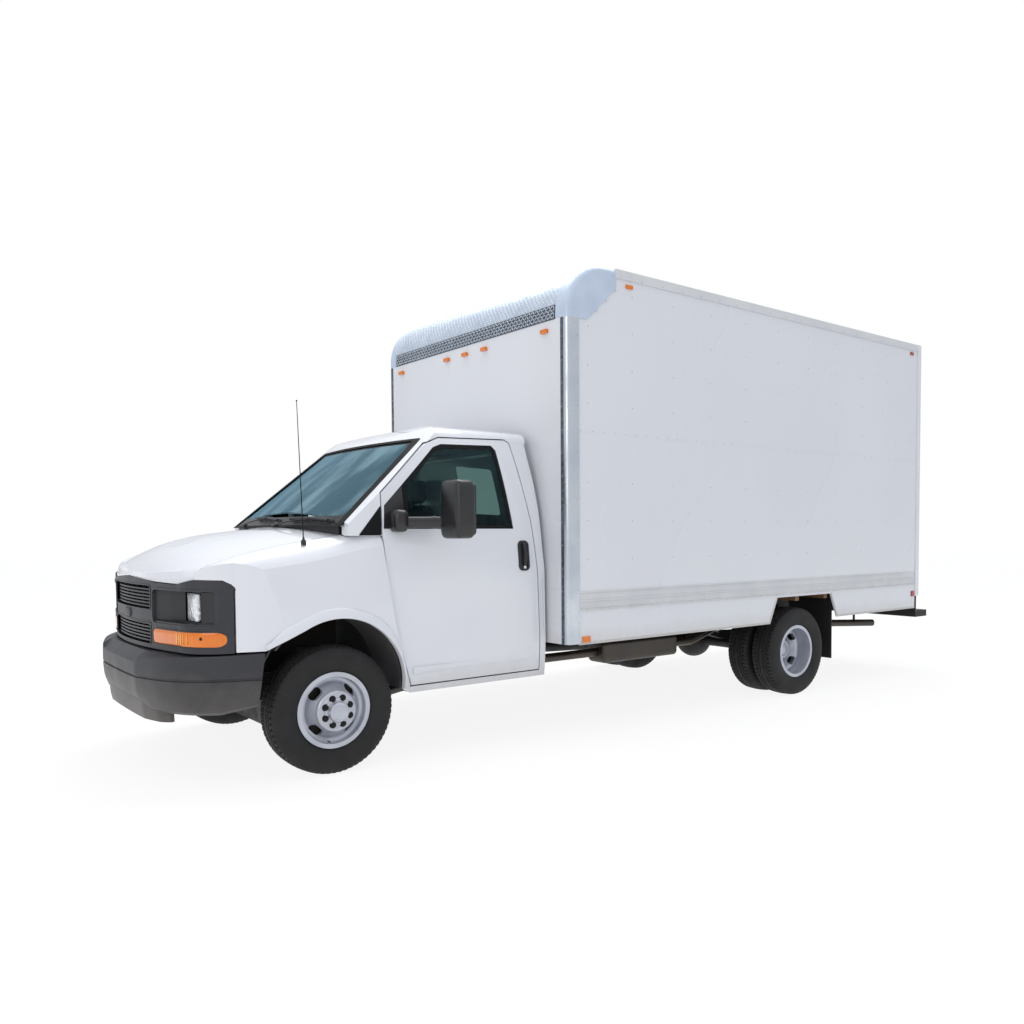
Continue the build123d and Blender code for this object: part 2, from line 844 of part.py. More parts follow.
# Openings in the surround: half width limits and heights, for the grille above and below its bar
grille_low = (772, 892)
grille_high = (966, 1098)
grille_half = 385
lamp_low = 906
lamp_high = 1082
turn_low = 784
turn_high = 862
for low, high in (grille_low, grille_high):
    surround -= block(nose_x - 1, -500, -grille_half, grille_half, low, high)
for side in (-1, 1):
    near, far = sorted((side * lamp_inner_y, side * lamp_outer_y))
    surround -= block(nose_x - 1, -560, near, far, lamp_low, lamp_high)
    surround -= block(nose_x - 1, -560, near, far, turn_low, turn_high)
bars = []
bar_form = nose_plan(12, surround_foot_z, surround_top_z)
bar_form -= nose_plan(12 + bar_depth, surround_foot_z, surround_top_z)
for low, high in (grille_low, grille_high):
    for step in range(int((high - low) / bar_pitch)):
        z = low + (step + 0.5) * bar_pitch
        bars.append(bar_form & block(nose_x, -500, -grille_half - 1, grille_half + 1, z, z + bar_height))
surround += bars
for side in (-1, 1):
    near, far = sorted((side * (lamp_inner_y - 20), side * lamp_inner_y))
    surround += block(-790, -645, near, far, lamp_low - 6, lamp_high + 6)
    surround += block(-775, -640, side * rail_y - 30, side * rail_y + 30, front_rail_z + rail_height, 771)
    # A rubber buffer that the closed hood rests on
    seat_x, seat_y = hood_buffer[0], side * hood_buffer[1]
    surround += rod(
        buffer_radius,
        (seat_x, seat_y, lamp_high + 8),
        (seat_x, seat_y, surround_top_z + panel_gap - running_clearance),
    )
export("lamp_surround", surround)

lens_depth = 22
lens_form = nose_plan(0, surround_foot_z, surround_top_z)
lens_form -= nose_plan(lens_depth, surround_foot_z - 1, surround_top_z + 1)
turn_lamp = lens_form & block(nose_x - 1, -560, lamp_inner_y, lamp_outer_y, turn_low, turn_high)
export("turn_lamps", both(turn_lamp))
headlamp_x = -705
headlamp_y = (590, 790)
headlamp = block(headlamp_x, headlamp_x + 60, *headlamp_y, lamp_low + 12, lamp_high - 12)
lamp_pan = block(headlamp_x + 34, headlamp_x + 60, lamp_inner_y, headlamp_y[1], lamp_low, lamp_high)
export("headlamps", both(fillet(headlamp.edges().filter_by(Axis.X), 14) + lamp_pan))


# Front bumper
def bumper_plan(inset, z_low, z_high):
    """The bumper's plan between two heights: a bowed middle, a crease and swept wings."""
    i = inset
    mid_x, crease_x = bumper_front_x + i, bumper_front_x + 26 + i
    crease_y, end_y = bumper_crease_y - i / 5, bumper_end_y - i
    return plan_plate(
        z_low,
        z_high,
        (bumper_end_x, -end_y),
        ((-748 + i * 0.8, -862 + i * 0.6), (crease_x, -crease_y)),
        ((mid_x, 0), (crease_x, crease_y)),
        ((-748 + i * 0.8, 862 - i * 0.6), (bumper_end_x, end_y)),
    )


bumper = bumper_plan(0, bumper_foot_z, bumper_top_z)
bumper -= bumper_plan(bumper_depth, bumper_foot_z - 1, bumper_top_z + 1)
bumper -= bumper_plan(-5, groove_z, groove_z + groove_height) - bumper_plan(
    groove_depth, groove_z - 1, groove_z + groove_height + 1
)
bumper -= block(
    bumper_front_x - 1, -700, -bumper_crease_y, bumper_crease_y, bumper_centre_top_z, bumper_top_z + 1
)
chin = bumper_plan(chin_setback, chin_foot_z, bumper_foot_z) - bumper_plan(
    chin_setback + 20, chin_foot_z - 1, bumper_foot_z
)
chin &= block(bumper_front_x, -600, -bumper_crease_y + 8, bumper_crease_y - 8, chin_foot_z, bumper_foot_z)
valance = bumper_plan(34, bumper_foot_z - 44, bumper_foot_z) - bumper_plan(
    60, bumper_foot_z - 45, bumper_foot_z + 1
)
bracket = block(bumper_front_x + 60, rail_front_x, rail_y - 40, rail_y + 40, 480, 540)
bumper = bumper + chin + valance + bracket + other_side(bracket)
export("front_bumper", bumper)

# Wheel liners
liner_inner_y = 560
liner_outer_y = waist_half - 98


def liner(y_low, y_high):
    """The wheel arch's inner skin between two distances from the middle."""
    return side_plate(
        y_low,
        y_high,
        (452, 440),
        ((arch_centre[0] - 5, 932), (-432, 470)),
        (-423, 470),
        ((arch_centre[0] - 5, 922), (443, 440)),
    )


# Above the bumper the liner runs out to the inside of the fender
above_bumper = block(-wheelbase, wheelbase, 0, wheelbase, bumper_top_z + 8, wheelbase)
liner_flange = liner(liner_outer_y, waist_half) & above_bumper & under_shell
export("wheel_liners", both(liner(liner_inner_y, liner_outer_y) + liner_flange))

# Cab inside
inside_half = belt_half - pillar - 8
floor = block(
    firewall_x, cab_back_x - pillar, -inside_half, inside_half, cab_floor_z - cab_floor_thickness, cab_floor_z
)
firewall = block(firewall_x, firewall_x + 25, -inside_half, inside_half, cab_floor_z, firewall_top_z)
shelf = block(150, firewall_x + 25, -inside_half, inside_half, firewall_top_z, firewall_top_z + 25)
upper_wall = block(150, 175, -inside_half, inside_half, firewall_top_z + 25, belt_z - 60)
tunnel = block(firewall_x, 1080, -190, 190, cab_floor_z, cab_floor_z + 60)
floor = floor + firewall + shelf + upper_wall + tunnel
sill_beam = side_y(rocker_z) - pillar - 0.1
for side in (-1, 1):
    near, far = sorted((side * (inside_half - 20), side * sill_beam))
    floor += block(rocker_front_x, cab_back_x - pillar - 1, near, far, rocker_z, cab_floor_z - 1)
    for x in (700, 1300):
        leg_y = side * rail_y
        floor += block(x, x + 80, leg_y - 30, leg_y + 30, front_rail_z + rail_height, cab_floor_z - 1)
export("cab_floor", floor)

dash = side_plate(
    -hood_half + panel_gap,
    hood_half - panel_gap,
    (186, 1140),
    (186, 1362),
    ((380, 1376), (520, 1330)),
    ((590, 1290), (560, 1210)),
    (470, 1130),
    (421, firewall_top_z + 25),
    (300, firewall_top_z + 25),
)
wheel_centre = (690, 420, 1235)
wheel_tilt = 28
steering = Pos(*wheel_centre) * Rot(0, 90 + wheel_tilt, 0) * Torus(185, 16)
hub_plane = Pos(*wheel_centre) * Rot(0, 90 + wheel_tilt, 0)
steering += hub_plane * Cylinder(48, 50)
steering += hub_plane * Box(20, 350, 14)
column = rod(28, wheel_centre, (520, 420, 1145))
export("dashboard", dash + steering + column)


def seat(y):
    """One seat: pedestal, cushion, backrest and headrest, in line with y."""
    half = 245
    base = block(790, 1140, y - half + 40, y + half - 40, cab_floor_z, 860)
    cushion = fillet(block(720, 1210, y - half, y + half, 860, 1000).edges(), 35)
    back = side_plate(y - half, y + half, (1130, 960), (1270, 1620), (1365, 1600), (1280, 940))
    back = fillet(back.edges().filter_by(Axis.Y), 30)
    rest = fillet(block(1285, 1365, y - 130, y + 130, 1600, 1800).edges(), 28)
    return base + cushion + back + rest


export("seats", Compound([seat(-420).solid(), seat(420).solid()]))


# Van body
rear_frame_depth = 60
rear_post_width = 70
header_foot_z = box_top_z - 220
wall_half = box_half - rail_proud
wall_rear_x = box_rear_x - rear_frame_depth
post_rear_x = box_front_x + post_width
casting_foot_x = box_front_x + 170
casting_rear_x = box_front_x + casting_reach
roof_half = box_half - 50

floor_half = box_half - wall
floor = block(box_front_x + wall, wall_rear_x, -floor_half, floor_half, floor_foot_z, floor_top_z)
for number in range(sill_count):
    x = sill_x(number)
    floor += block(x, x + sill_width, -floor_half, floor_half, sill_foot_z, floor_foot_z)
export("box_floor", floor)


def nose_profile(inset, y_low, y_high, foot_z, rear_x):
    """A side view of the rounded front top corner, inset on its outside, down to foot_z, back to rear_x."""
    i, r = inset, nose_radius
    front, top = box_front_x + i, box_top_z - i
    bend = (r - i) * (1 - sqrt(0.5))
    return side_plate(
        y_low,
        y_high,
        (front, foot_z),
        (front, box_top_z - r),
        ((front + bend, top - bend), (box_front_x + r, top)),
        (rear_x, top),
        (rear_x, foot_z),
    )


def casting_outline(y_low, y_high):
    """The side view of a corner casting: a foot, a slanted edge and an upright rear edge."""
    return side_plate(
        y_low,
        y_high,
        (box_front_x - 1, nose_band_z),
        (casting_foot_x, nose_band_z),
        (casting_rear_x, nose_band_z + 250),
        (casting_rear_x, box_top_z + 1),
        (box_front_x - 1, box_top_z + 1),
    )


casting_half = box_half - casting_length
solid_nose = nose_profile(0, casting_half, box_half, nose_band_z - 1, casting_rear_x + 1)
rounded = fillet(solid_nose.faces().sort_by(Axis.Y)[-1].edges().filter_by(GeomType.CIRCLE), 40)
hollow_nose = nose_profile(wall, casting_half - 1, box_half - wall, nose_band_z - 2, casting_rear_x + 2)
casting = (rounded & casting_outline(casting_half, box_half)) - hollow_nose
export("corner_castings", both(casting))

nose = nose_profile(0, -casting_half, casting_half, nose_band_z, casting_rear_x)
nose -= nose_profile(wall, -casting_half - 1, casting_half + 1, nose_band_z - 1, casting_rear_x + 1)
export("box_nose", nose)

front_wall_half = box_half - post_depth
front_wall = block(
    box_front_x, box_front_x + wall, -front_wall_half, front_wall_half, post_foot_z, nose_band_z
)
export("box_front_wall", front_wall)

box_roof = block(
    casting_rear_x, wall_rear_x, -roof_half, roof_half, box_top_z - roof_thickness, box_top_z - 3
)
export("box_roof", box_roof)

side_top_z = box_top_z - top_rail_height
side_wall = block(post_rear_x, wall_rear_x, box_half - wall, wall_half, rub_rail_top_z, side_top_z)
side_wall -= casting_outline(casting_half, box_half + 1)
export("box_sides", both(side_wall))

post = block(box_front_x, post_rear_x, front_wall_half, box_half, post_foot_z, nose_band_z)
post = fillet(post.edges().filter_by(Axis.Z).sort_by(Axis.X)[:2].sort_by(Axis.Y)[-1], post_radius)
post -= block(
    box_front_x + wall, post_rear_x + 1, front_wall_half - 1, box_half - wall, post_foot_z, nose_band_z
)
top_rail = block(casting_rear_x, wall_rear_x, roof_half, box_half, side_top_z, box_top_z)
top_rail -= block(
    casting_rear_x, wall_rear_x, roof_half - 1, box_half - wall, side_top_z, box_top_z - roof_thickness
)
rub_rail = block(post_rear_x, wall_rear_x, box_half - wall, box_half, rub_rail_foot_z, rub_rail_top_z)
for low, high in ((rub_rail_foot_z + 10, rub_rail_foot_z + 60), (rub_rail_foot_z + 70, rub_rail_top_z - 10)):
    rub_rail -= block(post_rear_x, wall_rear_x, wall_half, box_half + 1, low, high)
rails = post.solids() + top_rail.solids() + rub_rail.solids()
export("box_rails", Compound(rails + [other_side(piece) for piece in rails]))

cutout_x = wheelbase + cutout_shift
skirt = side_plate(
    wall_half - skirt_thickness,
    wall_half,
    (post_rear_x, skirt_foot_z),
    (cutout_x - cutout_foot_half, skirt_foot_z),
    (cutout_x - cutout_top_half, rub_rail_foot_z - 20),
    (cutout_x + cutout_top_half, rub_rail_foot_z - 20),
    (cutout_x + cutout_foot_half, skirt_foot_z),
    (wall_rear_x, skirt_foot_z),
    (wall_rear_x, rub_rail_foot_z),
    (post_rear_x, rub_rail_foot_z),
)
export("box_skirts", both(skirt))

rear_frame = block(wall_rear_x, box_rear_x, -box_half, box_half, skirt_foot_z + 120, box_top_z)
door_half = box_half - rear_post_width
rear_frame -= block(wall_rear_x - 1, box_rear_x + 1, -door_half, door_half, floor_top_z, header_foot_z)
rear_frame -= block(wall_rear_x - 1, box_rear_x + 1, -box_half + wall, box_half - wall, 0, sill_foot_z + 30)
export("rear_frame", rear_frame)
rear_door = block(box_rear_x - 50, box_rear_x - 20, -door_half, door_half, floor_top_z, header_foot_z)
export("rear_door", rear_door)

# Rear step, flaps and lamps
riser_depth = 12
step_half = box_half - 30
riser_top_z = sill_foot_z - 20
plate_z = 700
step_foot_z = step_top_z - step_bar
riser_rear_x = box_rear_x + riser_depth
rear_bumper = block(box_rear_x, riser_rear_x, -step_half, step_half, step_foot_z, riser_top_z)
rear_bumper += block(box_rear_x, step_rear_x, -step_half, step_half, step_foot_z, step_top_z)
for across in (-plate_spacing / 2, plate_spacing / 2):
    for up in (-plate_drop / 2, plate_drop / 2):
        hole = (box_rear_x - 1, across, plate_z + up)
        rear_bumper -= rod(plate_hole, hole, (riser_rear_x + 1, across, plate_z + up))
export("rear_bumper", rear_bumper)

flap_foot_z = 262
flap_x = cutout_x + cutout_foot_half - 30
flap_width = 454
flap_outer_y = floor_half - 6
flap = block(flap_x, flap_x + 12, flap_outer_y - flap_width, flap_outer_y, flap_foot_z, floor_foot_z)
export("mud_flaps", both(flap))

lamp_half_y = 32
lamp_half_z = 13
outer_lamp_y = box_half - 234
clearance_y = (-outer_lamp_y, -260, 0, 260, outer_lamp_y)
front_lamp_z = nose_band_z - 65
rear_lamp_z = box_top_z - 57
stop_lamp_y = box_half - 289


def lamp_row(x_low, x_high, z):
    """The five clearance lamps across one end of the van body."""
    return [
        block(x_low, x_high, y - lamp_half_y, y + lamp_half_y, z - lamp_half_z, z + lamp_half_z)
        for y in clearance_y
    ]


ambers = lamp_row(box_front_x - lamp_proud, box_front_x, front_lamp_z)
reds = lamp_row(box_rear_x, box_rear_x + lamp_proud, rear_lamp_z)
# Side lamps: middle along X, height, half length, half height, and the face that they sit on
side_ambers = (
    (box_front_x + 555, box_top_z - 103, 32, 13, wall_half),
    (post_rear_x + 58, skirt_foot_z + 36, 33, 20, wall_half),
)
side_reds = (
    (box_rear_x - 165, box_top_z - 95, 24, 13, wall_half),
    (box_rear_x - 104, rub_rail_foot_z - 86, 22, 26, wall_half),
)
for table, pieces in ((side_ambers, ambers), (side_reds, reds)):
    for x, z, half_x, half_z, face_y in table:
        lamp = block(x - half_x, x + half_x, face_y, face_y + 10, z - half_z, z + half_z)
        pieces += [lamp, other_side(lamp)]
for side in (-1, 1):
    low, high = sorted((side * stop_lamp_y, side * (stop_lamp_y + 190)))
    reds.append(block(riser_rear_x, riser_rear_x + 28, low, high, 660, 740))
export("amber_lamps", Compound([piece.solid() for piece in ambers]))
export("red_lamps", Compound([piece.solid() for piece in reds]))
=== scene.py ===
"""A box truck's looks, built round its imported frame. Metres; X rearwards, Y to the truck's right, Z up."""

import bpy
import numpy as np
from mathutils import Matrix, Vector


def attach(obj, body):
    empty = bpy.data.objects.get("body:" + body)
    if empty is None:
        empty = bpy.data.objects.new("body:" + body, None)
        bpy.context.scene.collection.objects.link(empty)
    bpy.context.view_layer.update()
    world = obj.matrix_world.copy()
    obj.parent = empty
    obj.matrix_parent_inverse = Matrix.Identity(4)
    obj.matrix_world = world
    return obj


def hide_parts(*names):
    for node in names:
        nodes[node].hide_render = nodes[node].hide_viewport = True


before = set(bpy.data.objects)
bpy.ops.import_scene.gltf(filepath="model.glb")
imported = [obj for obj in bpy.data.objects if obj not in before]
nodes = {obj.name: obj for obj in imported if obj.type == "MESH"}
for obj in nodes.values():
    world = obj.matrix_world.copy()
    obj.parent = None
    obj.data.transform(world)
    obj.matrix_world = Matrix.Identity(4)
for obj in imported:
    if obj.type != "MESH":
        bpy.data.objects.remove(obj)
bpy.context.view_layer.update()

TAU = 2 * np.pi
SIDES = ((-1, "left"), (1, "right"))
# The front axle lies this far ahead of the middle of the truck's length, in metres
AXLE = 2.610
# Where the wheels are, in millimetres from the front axle and the ground
WHEELBASE, WHEEL_Z = 4039, 372
FRONT_TYRE_Y, TWIN_TYRE_Y = 869, (830.5, 1091.5)


def truck(points):
    """Points in millimetres from the front axle, as metres from the middle of the truck."""
    return np.asarray(points, float) / 1000 - np.array([AXLE, 0, 0])


# ---- Materials ----
NOISE, CELLS = "TexNoise", "TexVoronoi"


def srgb(code):
    """An sRGB hex code as linear red, green, blue and alpha."""
    value = np.array([int(code[i : i + 2], 16) for i in (0, 2, 4)]) / 255
    linear = np.where(value <= 0.04045, value / 12.92, ((value + 0.055) / 1.055) ** 2.4)
    return (*linear, 1.0)


def add(tree, kind, inputs=None, **settings):
    """Adds a shader node with its settings; an input is a value or another node's socket."""
    node = tree.nodes.new("ShaderNode" + kind)
    for key, value in settings.items():
        setattr(node, key, value)
    for key, value in (inputs or {}).items():
        if isinstance(value, bpy.types.NodeSocket):
            tree.links.new(value, node.inputs[key])
        else:
            node.inputs[key].default_value = value
    return node


def blank_tree(owner):
    """The emptied node tree of a material or a world."""
    owner.use_nodes = True
    owner.node_tree.nodes.clear()
    return owner.node_tree


def ranged(tree, value, source=(0, 1), target=(0, 1), **settings):
    """A value carried from one range to another, and held at its ends."""
    (low, high), (bottom, top) = source, target
    return add(tree, "MapRange", {"Value": value, "From Min": low, "From Max": high, "To Min": bottom,
                                  "To Max": top}, **settings).outputs["Result"]


def noise(tree, vector, scale, detail):
    """A cloudy pattern's value, between 0 and 1."""
    return add(tree, NOISE, {"Vector": vector, "Scale": scale, "Detail": detail}).outputs["Fac"]


def mixed(tree, share, first, second):
    """Two colours mixed by a share. The mix node has sockets for each data type; these are its colour ones."""
    node = add(tree, "Mix", {"Factor": share}, data_type="RGBA")
    for socket, value in zip([s for s in node.inputs if s.type == "RGBA"], (first, second)):
        if isinstance(value, bpy.types.NodeSocket):
            tree.links.new(value, socket)
        else:
            socket.default_value = value
    return [s for s in node.outputs if s.type == "RGBA"][0]


def surface(name, colour, second=None, patch=0.4, rough=(0.4, 0.5), metallic=0.0, coat=0.0, bump=(), grime_and_ground_bounce=None,
            grain=(1, 1, 1), detail=3.0, **shader):
    """
    A finish from Object coordinates. Colour and roughness drift between two values over patches of patch
    metres; each bump is (kind, size in metres, depth in metres); the tint from the ground is (hex, height, reach)
    and rises from the ground: road dirt on the paints, painted light bounced up from the ground on the charcoal
    plastic; grain squeezes the pattern along an axis, as brushing does.
    """
    material = bpy.data.materials.new(name)
    tree = blank_tree(material)
    place = add(tree, "TexCoord").outputs["Object"]
    stretched = add(tree, "Mapping", {"Vector": place, "Scale": grain}).outputs["Vector"]
    drift = noise(tree, stretched, 1 / patch, detail)
    drift = ranged(tree, drift, (0.25, 0.75), interpolation_type="SMOOTHSTEP")
    tint = mixed(tree, drift, srgb(colour), srgb(second or colour))
    # A tint that rises from the ground: road dirt on the paints, painted ground-bounce light on the charcoal plastic
    if grime_and_ground_bounce:
        code, start, reach = grime_and_ground_bounce
        height = add(tree, "SeparateXYZ", {"Vector": place}).outputs["Z"]
        patchy = noise(tree, place, 9.0, 6.0)
        wander = add(tree, "Math", {0: patchy, 1: reach * 1.6, 2: height}, operation="MULTIPLY_ADD")
        fade = ranged(tree, wander.outputs[0], (start, start + reach * 2), (0.55, 0))
        tint = mixed(tree, fade, tint, srgb(code))
    gloss = ranged(tree, drift, (0, 1), rough)
    normal = None
    for kind, size, depth in bump:
        pattern = add(tree, kind, {"Vector": stretched, "Scale": 1 / size})
        # A swell this wide is a sheet's waviness, with nothing finer on it
        if kind == NOISE and size > 0.5:
            pattern.inputs["Detail"].default_value = 0.0
        height = pattern.outputs["Fac" if kind == NOISE else "Distance"]
        step = add(tree, "Bump", {"Height": height, "Distance": depth, "Strength": 1.0})
        if normal:
            tree.links.new(normal, step.inputs["Normal"])
        normal = step.outputs["Normal"]
    body = add(tree, "BsdfPrincipled", {"Base Color": tint, "Roughness": gloss, "Metallic": metallic,
                                        "Coat Weight": coat})
    for key, value in shader.items():
        body.inputs[key.replace("_", " ").title().replace("Ior", "IOR")].default_value = value
    if normal:
        tree.links.new(normal, body.inputs["Normal"])
    add(tree, "OutputMaterial", {"Surface": body.outputs["BSDF"]})
    return material


def tinted_glass(name, colour, reflection_colours, shine, through=0.72):
    """A thin tinted pane: light goes straight through its tint, and a painted reflection, streaky clouds of sky
    colour, lies on its face.
    """
    material = bpy.data.materials.new(name)
    tree = blank_tree(material)
    place = add(tree, "TexCoord").outputs["Object"]
    slope = add(tree, "Mapping", {"Vector": place, "Rotation": (0.3, 0.9, 0.2), "Scale": (0.8, 2.2, 1.4)})
    reflection_streaks = noise(tree, slope.outputs["Vector"], 1.7, 3.0)
    cloud = ranged(tree, reflection_streaks, (0.38, 0.66), interpolation_type="SMOOTHSTEP")
    clear = add(tree, "BsdfTransparent", {"Color": srgb(colour)})
    # The face's colours are a painted reflection of the sky, drifting in streaks
    tint = mixed(tree, cloud, srgb(reflection_colours[0]), srgb(reflection_colours[1]))
    painted_reflection = add(tree, "BsdfPrincipled", {"Base Color": tint, "Roughness": 0.05})
    body = add(tree, "MixShader", {0: 1 - through, 1: clear.outputs[0], 2: painted_reflection.outputs[0]})
    mirror = add(tree, "BsdfGlossy", {"Color": srgb(shine), "Roughness": 0.0})
    edge = add(tree, "Fresnel", {"IOR": 1.45})
    both = add(tree, "MixShader", {0: edge.outputs[0], 1: body.outputs[0], 2: mirror.outputs[0]})
    add(tree, "OutputMaterial", {"Surface": both.outputs[0]})
    return material


# Two-stage cab enamel: cool white under a clear coat, with faint orange peel and road film low down
cab_enamel = surface("cab_enamel", "DFE1E7", "E4E6EA", 0.9, (0.32, 0.42), coat=1.0, bump=[(NOISE, 0.012, 0.00002)],
                     grime_and_ground_bounce=("B9B6B0", 0.46, 0.10), coat_roughness=0.04)
# Coil-coated aluminium sheet over plywood: satin white whose sheen wanders where the sheet isn't flat
van_sheet = surface("coil_coated_sheet", "DDDFE4", "E0E2E6", 1.3, (0.26, 0.3), coat=0.35, detail=1.0,
                    bump=[(NOISE, 0.9, 0.002)], grime_and_ground_bounce=("C6C3BC", 0.66, 0.07), coat_roughness=0.12)
# Mill-finish aluminium extrusion: drawn along its length, bright with long soft streaks
extrusion = surface("drawn_aluminium", "D3D9E0", "BFC7D0", 0.25, (0.22, 0.42), metallic=0.85,
                    bump=[(NOISE, 0.03, 0.0001)])
# The same extrusion painted at the factory: the van body's rub rails
rail_paint = surface("painted_extrusion", "D9DADB", "D0D2D5", 0.3, (0.3, 0.42), bump=[(NOISE, 0.03, 0.00008)],
                     grime_and_ground_bounce=("B5B0A6", 0.80, 0.10))
# Sand-cast aluminium, blasted: pale blue-grey, matt, finely pitted
casting = surface("cast_aluminium", "C9D6E6", "BECBDD", 0.18, (0.42, 0.52), metallic=0.25,
                  bump=[(NOISE, 0.006, 0.0003)])
# Bright tread plate: rolled aluminium, brighter on its raised bars
tread_sheet = surface("bright_tread_plate", "C9D3DF", "BAC6D3", 0.1, (0.3, 0.45), metallic=0.5)
dark_plate = surface("dull_tread_plate", "6F7680", "4B5058", 0.03, (0.3, 0.5), metallic=0.8)
# Moulded charcoal plastic: fine leather grain and a soft sheen; its brownish tint low down is painted light bounced
# up from the ground
charcoal = surface("grained_charcoal_plastic", "292A2F", "303137", 0.25, (0.4, 0.48),
                   bump=[(CELLS, 0.004, 0.0003)], grime_and_ground_bounce=("6E6860", 0.45, 0.16))
black_plastic = surface("moulded_black_plastic", "1F2023", "26272A", 0.2, (0.42, 0.55),
                        bump=[(NOISE, 0.003, 0.0001)])
# Smooth black plastic with a sheen that catches the sky: the mirrors
satin_black = surface("satin_black_plastic", "1C1C1D", "232324", 0.2, (0.24, 0.32), bump=[(NOISE, 0.02, 0.0002)],
                      specular_ior_level=0.6)
gloss_black = surface("black_glass_print", "08090A", "0B0C0E", 0.2, (0.3, 0.4), specular_ior_level=0.25)
# Pressed black felt and plastic of the wheel liners, dusty
liner_plastic = surface("wheel_liner_plastic", "45464B", "565552", 0.15, (0.6, 0.75), bump=[(NOISE, 0.02, 0.001)])
# Extruded rubber weatherstrip
weatherstrip = surface("rubber_weatherstrip", "0B0C0E", "111214", 0.1, (0.6, 0.75), specular_ior_level=0.2)
# Vulcanised tyre rubber: nearly black, with a brownish bloom of dust on the tread
tyre_rubber = surface("tyre_rubber", "121214", "1A1A1A", 0.09, (0.62, 0.78), bump=[(NOISE, 0.004, 0.0002)])
flap_rubber = surface("flap_rubber", "0D0D0F", "151517", 0.2, (0.6, 0.7), bump=[(NOISE, 0.02, 0.0004)])
# Silver wheel enamel, slightly metallic
wheel_enamel = surface("silver_wheel_enamel", "C2C6CF", "B4B8C2", 0.12, (0.3, 0.4), metallic=0.5, coat=0.4,
                       bump=[(NOISE, 0.01, 0.00005)])
# Chassis enamel over rolled steel, dulled by road dust
chassis_enamel = surface("chassis_enamel", "101113", "1E1D1C", 0.15, (0.45, 0.7), bump=[(NOISE, 0.01, 0.0003)])
iron = surface("cast_iron", "2C2B2A", "3B352F", 0.05, (0.6, 0.8), metallic=0.6, bump=[(NOISE, 0.008, 0.0008)])
exhaust_steel = surface("aluminised_steel", "4A4846", "5E5750", 0.2, (0.35, 0.55), metallic=0.9)
zinc = surface("zinc_plated_steel", "8E929A", "7C8088", 0.05, (0.3, 0.45), metallic=0.9)
rivet_metal = surface("painted_rivets", "AEB1B9", "A3A6AE", 0.05, (0.35, 0.5), metallic=0.3)
black_nuts = surface("black_oxide_nuts", "0B0B0D", "121214", 0.02, (0.35, 0.5), metallic=0.5)
chrome = surface("chromed_reflector", "D9DBDE", "C9CBCF", 0.03, (0.06, 0.14), metallic=1.0)
silvered = surface("silvered_mirror", "C8CED2", "C2C9CE", 0.2, (0.02, 0.04), metallic=1.0)
# Woven seat cloth: dark, with a fine cell weave
seat_cloth = surface("woven_seat_cloth", "2A2B2F", "34353A", 0.05, (0.85, 0.95), bump=[(CELLS, 0.004, 0.0008)],
                     sheen_weight=0.4)
# Soft-touch vinyl of the dashboard and door trims
vinyl = surface("grained_vinyl", "3A3C40", "43454A", 0.2, (0.55, 0.68), bump=[(CELLS, 0.005, 0.0004)])
headliner = surface("felt_headliner", "8B8C8C", "95968F", 0.2, (0.9, 0.95), bump=[(NOISE, 0.004, 0.0004)])
paper = surface("blank_paper", "F2F8F5", "EAF2EF", 0.2, (0.7, 0.8))
floor_boards = surface("oiled_hardwood_floor", "8A6A45", "6F5335", 0.08, (0.5, 0.65), grain=(0.15, 1, 1),
                       bump=[(NOISE, 0.02, 0.0004)])
# Moulded lenses: clear acrylic, amber and red, glossy with light inside
amber = surface("amber_acrylic", "F58405", "F07800", 0.06, (0.12, 0.2), coat=0.6, bump=[(NOISE, 0.012, 0.0006)],
                transmission_weight=0.15)
amber_bars = surface("amber_prism_bars", "FFB83A", "FFAE2A", 0.03, (0.15, 0.25), coat=0.5)
red = surface("red_acrylic", "B3161A", "A10F14", 0.05, (0.12, 0.2), coat=0.6, transmission_weight=0.15)
lens = surface("clear_lamp_glass", "E6EAEC", "DCE1E4", 0.03, (0.05, 0.12), coat=1.0, metallic=0.35,
               bump=[(CELLS, 0.02, 0.004)])
# On each pane the pair of colours is a painted reflection of the sky, laid on in streaks
windscreen_glass = tinted_glass("laminated_windscreen", "C9E2E8", ("2C5D6C", "B4DCE8"), "6FAEC8", 0.6)
door_glass = tinted_glass("tempered_door_glass", "E4F2EF", ("26323A", "4C6470"), "4A5F69", 0.95)

DRESS = {
    cab_enamel: "cab_sides cab_roof cab_back fenders hood door_left door_right",
    van_sheet: "box_sides box_front_wall box_roof box_skirts rear_frame rear_door",
    casting: "corner_castings", tread_sheet: "box_nose", rail_paint: "box_rails",
    charcoal: "front_bumper lamp_surround", black_plastic: "cowl mirror_left mirror_right",
    liner_plastic: "wheel_liners", vinyl: "dashboard cab_floor", windscreen_glass: "windscreen",
    door_glass: "door_glass_left door_glass_right", lens: "headlamps", amber: "turn_lamps amber_lamps",
    red: "red_lamps", chassis_enamel: "frame_rails front_suspension rear_axle rear_springs rear_bumper "
    "fuel_tank drive_shaft", exhaust_steel: "exhaust", iron: "engine knuckle_left knuckle_right",
    wheel_enamel: "front_rim_left front_rim_right rear_rims_left rear_rims_right", seat_cloth: "seats",
    tyre_rubber: "front_tyre_left front_tyre_right rear_tyres_left rear_tyres_right", flap_rubber: "mud_flaps",
    floor_boards: "box_floor",
}
for material, names in DRESS.items():
    for name in names.split():
        nodes[name].data.materials.clear()
        nodes[name].data.materials.append(material)


